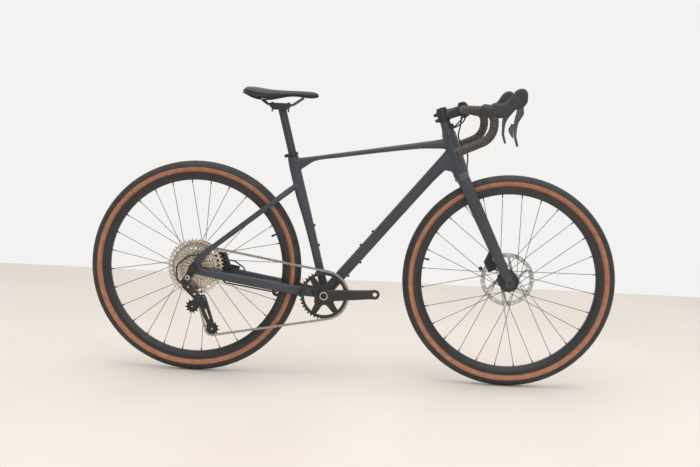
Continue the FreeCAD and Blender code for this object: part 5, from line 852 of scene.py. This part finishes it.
# a point at any distance along the bar, and the distances where its runs and bends end
def barLine(side):
    corners = [barMiddle + Vector((x, side * y, z)) for x, y, z in tapeForm["bar"]]
    pieces = []
    begin = corners[0]
    for before, corner, after, radius in zip(corners, corners[1:], corners[2:], tapeForm["bends"]):
        into, out = (corner - before).normalized(), (after - corner).normalized()
        turn = into.angle(out)
        cut = radius * math.tan(turn / 2)
        start = corner - into * cut
        pieces.append(((start - begin).length, lambda d, b=begin, u=into: b + u * d))
        axis = into.cross(out).normalized()
        hub = start + axis.cross(into) * radius
        pieces.append((
            radius * turn, lambda d, h=hub, s=start, a=axis, r=radius: h + Quaternion(a, d / r) @ (s - h)
        ))
        begin = corner + out * cut
    last = corners[-1]
    pieces.append(((last - begin).length, lambda d, b=begin, u=(last - begin).normalized(): b + u * d))
    ends, total = [], 0
    for length, _ in pieces:
        total += length
        ends.append(total)

    def at(distance):
        for (length, spot), end in zip(pieces, ends):
            if distance <= end or end == total:
                return spot(distance - end + length)

    return at, ends


# one strip wound with an overlap: each turn climbs on the last and drops at its edge
def tapeRun(name, side, begin, end, at):
    look = tapeForm
    count = max(int((end - begin) / look["step"]), 2)
    reach = look["step"] / 2
    rings, worn = [], []
    wide = None
    for k in range(count + 1):
        d = begin + (end - begin) * k / count
        spot = at(d)
        ahead = (at(min(d + reach, end)) - at(max(d - reach, begin))).normalized()
        wide = across.cross(ahead) if wide is None else wide - ahead * wide.dot(ahead)
        if wide.length < 1e-6:
            wide = up.cross(ahead)
        wide.normalize()
        tall = ahead.cross(wide)
        ring = []
        for i in range(look["around"]):
            turn = 2 * math.pi * i / look["around"]
            phase = (d / look["pitch"] + side * i / look["around"]) % 1.0
            if phase < look["edge"]:
                climb = 1 - phase / look["edge"]
            else:
                climb = (phase - look["edge"]) / (1 - look["edge"])
            r = look["barRadius"] + look["thin"] + (look["thick"] - look["thin"] - look["inset"]) * climb
            worn.append(max(climb * look["rubGain"] - look["rubFrom"], 0))
            ring.append(spot + wide * (r * math.cos(turn)) + tall * (r * math.sin(turn)))
        rings.append(ring)
    points, faces = [], []
    addSkin(points, faces, rings)
    obj = meshObject(name, points, faces, tapeFoam)
    wrap = obj.data.attributes.new("wrap", "FLOAT", "POINT")
    for item, value in zip(wrap.data, worn + [0, 0]):
        item.value = value
    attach(obj, "steering")
    return obj


for side, word in ((right, "right"), (left, "left")):
    barAt, barEnds = barLine(side)
    hoodStart = barEnds[2] - tapeForm["sleeve"] * tapeForm["sleeveBack"]
    hoodEnd = hoodStart + tapeForm["sleeve"]
    tapeRun("tape_top_" + word, side, tapeForm["start"], hoodStart, barAt)
    tapeRun("tape_drop_" + word, side, hoodEnd, barEnds[-1], barAt)
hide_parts("bar_tape")
print("bar tape wound")


# the back of each hood, which stretches over the bar; rows are along, half width and half height
hoodBack = {
    "sides": {"right_lever_body": right, "left_lever_body": left}, "ahead": 78.1, "out": 208,
    "rows": [(-30, 14.6, 15.6), (-12, 16.4, 17.6), (6, 16.8, 19.2), (24, 16.4, 21.5), (40, 13.8, 20.0)],
}


def hoodCollar(side):
    middle = barMiddle + Vector((hoodBack["ahead"], side * hoodBack["out"], 0))
    points, faces, rings = [], [], []
    for along, wide, tall in hoodBack["rows"]:
        rings.append(ovalRing(middle + Vector((along, 0, 0)), across, up, wide, tall))
    addSkin(points, faces, rings)
    return points, faces


sameSpot = 0.002  # corners closer than this are one


# a solid's own form, with its edges softened as a casting's or a moulding's are
def soften(node, name, material, voxel, steps):
    mesh = nodes[node].data.copy()
    mesh.name = name
    obj = bpy.data.objects.new(name, mesh)
    bpy.context.scene.collection.objects.link(obj)
    bm = bmesh.new()
    bm.from_mesh(mesh)
    if node in hoodBack["sides"]:
        points, faces = hoodCollar(hoodBack["sides"][node])
        verts = [bm.verts.new(p * mm) for p in points]
        rows = [bm.faces.new([verts[i] for i in face]) for face in faces]
        bmesh.ops.recalc_face_normals(bm, faces=rows)
    bmesh.ops.remove_doubles(bm, verts=bm.verts, dist=sameSpot * mm)
    bm.to_mesh(mesh)
    bm.free()
    mesh.materials.clear()
    mesh.materials.append(material)
    grid = obj.modifiers.new("grid", "REMESH")
    grid.mode = "VOXEL"
    grid.voxel_size = voxel * mm
    ease = obj.modifiers.new("ease", "SMOOTH")
    ease.iterations = steps
    settle(obj)
    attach(obj, nodes[node]["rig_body"])
    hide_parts(node)
    return obj


# node, piece, material, grid in millimetres, smoothing steps and slot
for node, name, material, voxel, steps, slot in (
    ("right_lever_body", "right_hood", hoodRubber, 0.8, 8, "hood_rubber"),
    ("left_lever_body", "left_hood", hoodRubber, 0.8, 8, "hood_rubber"),
    ("stem", "stem_casting", blackAlloy, 0.7, 4, "black_alloy"),
    ("stem_faceplate", "stem_faceplate_casting", blackAlloy, 0.6, 4, "black_alloy"),
    ("right_crank", "right_crank_forging", forgedCrank, 0.7, 4, "black_alloy"),
    ("left_crank", "left_crank_forging", forgedCrank, 0.7, 4, "black_alloy"),
    ("right_brake_lever", "right_lever_blade", leverAlloy, 0.5, 5, "black_alloy"),
    ("left_brake_lever", "left_lever_blade", leverAlloy, 0.5, 5, "black_alloy"),
    ("shift_paddle", "shift_paddle_blade", leverAlloy, 0.4, 4, "black_alloy"),
    ("front_brake_caliper", "front_caliper_casting", blackAlloy, 0.8, 9, "black_alloy"),
    ("rear_brake_caliper", "rear_caliper_casting", blackAlloy, 0.8, 9, "black_alloy"),
    ("derailleur_knuckle", "derailleur_knuckle_casting", blackAlloy, 0.5, 5, "black_alloy"),
    ("derailleur_lower_knuckle", "derailleur_lower_casting", blackAlloy, 0.5, 5, "black_alloy"),
    ("derailleur_outer_link", "derailleur_outer_casting", blackAlloy, 0.4, 4, "black_alloy"),
    ("derailleur_inner_link", "derailleur_inner_casting", blackAlloy, 0.4, 4, "black_alloy"),
    ("seat_collar", "seat_collar_casting", blackAlloy, 0.5, 3, "black_alloy"),
):
    soften(node, name, material, voxel, steps)
print("castings and mouldings softened")


# a flat ring on an axis across the bike
def addWasher(points, faces, centre, sideA, sideB, inner, outer, count=48):
    base = len(points)
    for side, radius in ((sideA, inner), (sideA, outer), (sideB, outer), (sideB, inner)):
        for i in range(count):
            turn = 2 * math.pi * i / count
            points.append(centre + Vector((math.cos(turn) * radius, side, math.sin(turn) * radius)))
    for k in range(4):
        for i in range(count):
            j = (i + 1) % count
            a, b = base + k * count, base + (k + 1) % 4 * count
            faces.append((a + i, a + j, b + j, b + i))


hangerBolt = Vector((-539.0, 0, 326.5))
pulleyBolts = [Vector((-529.81, 0, 221.5)), Vector((-461.27, 0, 148.48))]
caliperBolt = Vector((433.8, 0, 387.4))
trimEdge = {"width": 0.5, "segments": 2}
# small visible trim that sits on a body: bare rings round bolts, dark sockets and bosses, and a dead black
# disc of painted shade in the front axle's bore
# washers are (middle, two sides, inner and outer radius), rods are (middle, two sides, radius)
trims = [
    {"name": "crank_ring", "body": "crank", "slot": "steel", "material": bareAlloy,
     "washers": [(bracket, -70.5, -66.0, 10.4, 13.4)]},
    {"name": "crank_cap", "body": "crank", "slot": "black_plastic", "material": mouldedNylon,
     "rods": [(bracket, -68.0, -64.0, 10.4)]},
    {"name": "hanger_bolt_ring", "body": "frame", "slot": "steel", "material": bareAlloy,
     "washers": [(hangerBolt, -99.2, -95.0, 4.4, 8.4)]},
    {"name": "hanger_bolt_socket", "body": "frame", "slot": "black_alloy", "material": blackAlloy,
     "rods": [(hangerBolt, -98.5, -95.0, 4.6)]},
    {"name": "pulley_bolt_faces", "body": "cage", "slot": "steel", "material": bareAlloy,
     "rods": [(bolt, -37.76, -36.9, 2.6) for bolt in pulleyBolts]},
    # a dead black disc on the axle's end: painted shade where the bore of the hole looks dark
    {"name": "front_axle_bore_shade_disc", "body": "steering", "slot": "black_alloy", "material": mouldedNylon,
     "rods": [(frontAxle, -61.5, -60.0, 4.0)]},
    {"name": "front_caliper_banjo", "body": "steering", "slot": "black_alloy", "material": blackAlloy,
     "rods": [(caliperBolt, 33.0, 47.0, 7.0)]},
]
for trim in trims:
    points, faces = [], []
    for washer in trim.get("washers", ()):
        addWasher(points, faces, *washer)
    for middle, sideA, sideB, radius in trim.get("rods", ()):
        addRod(points, faces, middle + across * sideA, middle + across * sideB, radius)
    obj = meshObject(trim["name"], points, faces, trim["material"])
    edges = obj.modifiers.new("edges", "BEVEL")
    edges.width = trimEdge["width"] * mm
    edges.segments = trimEdge["segments"]
    settle(obj)
    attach(obj, trim["body"])

# rubber port in the front of the headset cover, where hose and housing go in
# rings are how far out, and the share of the half sizes there
port = {
    "rise": 29.0, "halfWide": 17.0, "halfTall": 9.0,
    "rings": [(4.0, 1.0), (20.4, 1.0), (23.04, 0.9), (24.0, 0.7)],
}
portMiddle = coverFoot + steerUp * port["rise"]
points, faces, rings = [], [], []
for out, share in port["rings"]:
    wide, tall = port["halfWide"] * share, port["halfTall"] * share
    rings.append(ovalRing(portMiddle + steerAhead * out, across, steerUp, wide, tall))
addSkin(points, faces, rings)
grommet = meshObject("hose_port", points, faces, mouldedNylon)
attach(grommet, "steering")
print("trim added")

# stage: a plain pale floor in a bright room
floorLook = {"near": -7000, "far": 2350, "half": 9000}
floorPaint = finish("pale floor", {
    "low": "e2d8cd", "high": "e7ded4", "patch": 900, "wipe": 300, "grain": 6, "relief": 0.02,
    "rough": (0.45, 0.55), "metal": 0, "ior": 1.5,
})[0]
floorPoints = [
    Vector((x, y, 0)) for x, y in (
        (-floorLook["half"], floorLook["near"]), (floorLook["half"], floorLook["near"]),
        (floorLook["half"], floorLook["far"]), (-floorLook["half"], floorLook["far"]),
    )
]
floor = meshObject("floor", floorPoints, [(0, 1, 2, 3)], floorPaint)

scene = bpy.context.scene
scene.view_settings.view_transform = "Standard"
world = bpy.data.worlds.new("white room")
scene.world = world
world.use_nodes = True
# the wall behind the bike is bright, and the room on the camera's side is dimmer
roomLook = {"dim": "a6a6a9", "bright": "f3f2f1", "front": -0.6, "back": 0.35}
tree = world.node_tree
around = addNode(tree, "ShaderNodeTexCoord").outputs["Generated"]
heading = addNode(tree, "ShaderNodeSeparateXYZ", None, {0: around})
depth = addNode(
    tree, "ShaderNodeMapRange", {"From Min": roomLook["front"], "From Max": roomLook["back"]},
    {"Value": heading.outputs["Y"]},
)
stops = [(0, roomLook["dim"]), (1, roomLook["bright"])]
wall = addNode(tree, "ShaderNodeValToRGB", None, {"Fac": depth.outputs["Result"]}, stops)
tree.links.new(wall.outputs["Color"], tree.nodes["Background"].inputs["Color"])

lampAim = Vector((0, 0, 450))
lamps = [
    {"name": "top softbox", "place": (200, -700, 4400), "size": (5.0, 4.0), "power": 125},
    {"name": "front softbox", "place": (900, -3600, 2200), "size": (2.5, 2.0), "power": 30},
]
for lamp in lamps:
    light = bpy.data.lights.new(lamp["name"], "AREA")
    light.shape = "RECTANGLE"
    light.size, light.size_y = lamp["size"]
    light.energy = lamp["power"]
    holder = bpy.data.objects.new(lamp["name"], light)
    scene.collection.objects.link(holder)
    holder.location = Vector(lamp["place"]) * mm
    holder.rotation_euler = (lampAim - Vector(lamp["place"])).to_track_quat("-Z", "Y").to_euler()
print("stage and lamps set")

# the camera that takes the photograph's view, from the wheels' outlines
shot = {
    "place": (116.82, -3966.94, 892.36), "pitch": 5.8, "yaw": 1.861, "roll": 2.588,
    "lens": 61.16, "sensor": 36, "clip": 100,
}
pitch, yaw, roll = (math.radians(shot[key]) for key in ("pitch", "yaw", "roll"))
base = Matrix(((1, 0, 0), (0, 0, -1), (0, 1, 0)))
turnYaw = Matrix(((math.cos(yaw), math.sin(yaw), 0), (-math.sin(yaw), math.cos(yaw), 0), (0, 0, 1)))
turnPitch = Matrix(((1, 0, 0), (0, math.cos(pitch), -math.sin(pitch)), (0, math.sin(pitch), math.cos(pitch))))
turnRoll = Matrix(((math.cos(roll), -math.sin(roll), 0), (math.sin(roll), math.cos(roll), 0), (0, 0, 1)))
looks = turnRoll @ turnPitch @ base @ turnYaw
camera = bpy.data.objects.new("camera", bpy.data.cameras.new("camera"))
scene.collection.objects.link(camera)
camera.data.lens = shot["lens"]
camera.data.sensor_width = shot["sensor"]
camera.data.clip_end = shot["clip"]
axes = Matrix((looks[0], -looks[1], -looks[2])).transposed().to_4x4()
camera.matrix_world = Matrix.Translation(Vector(shot["place"]) * mm) @ axes
scene.camera = camera
print("camera set")
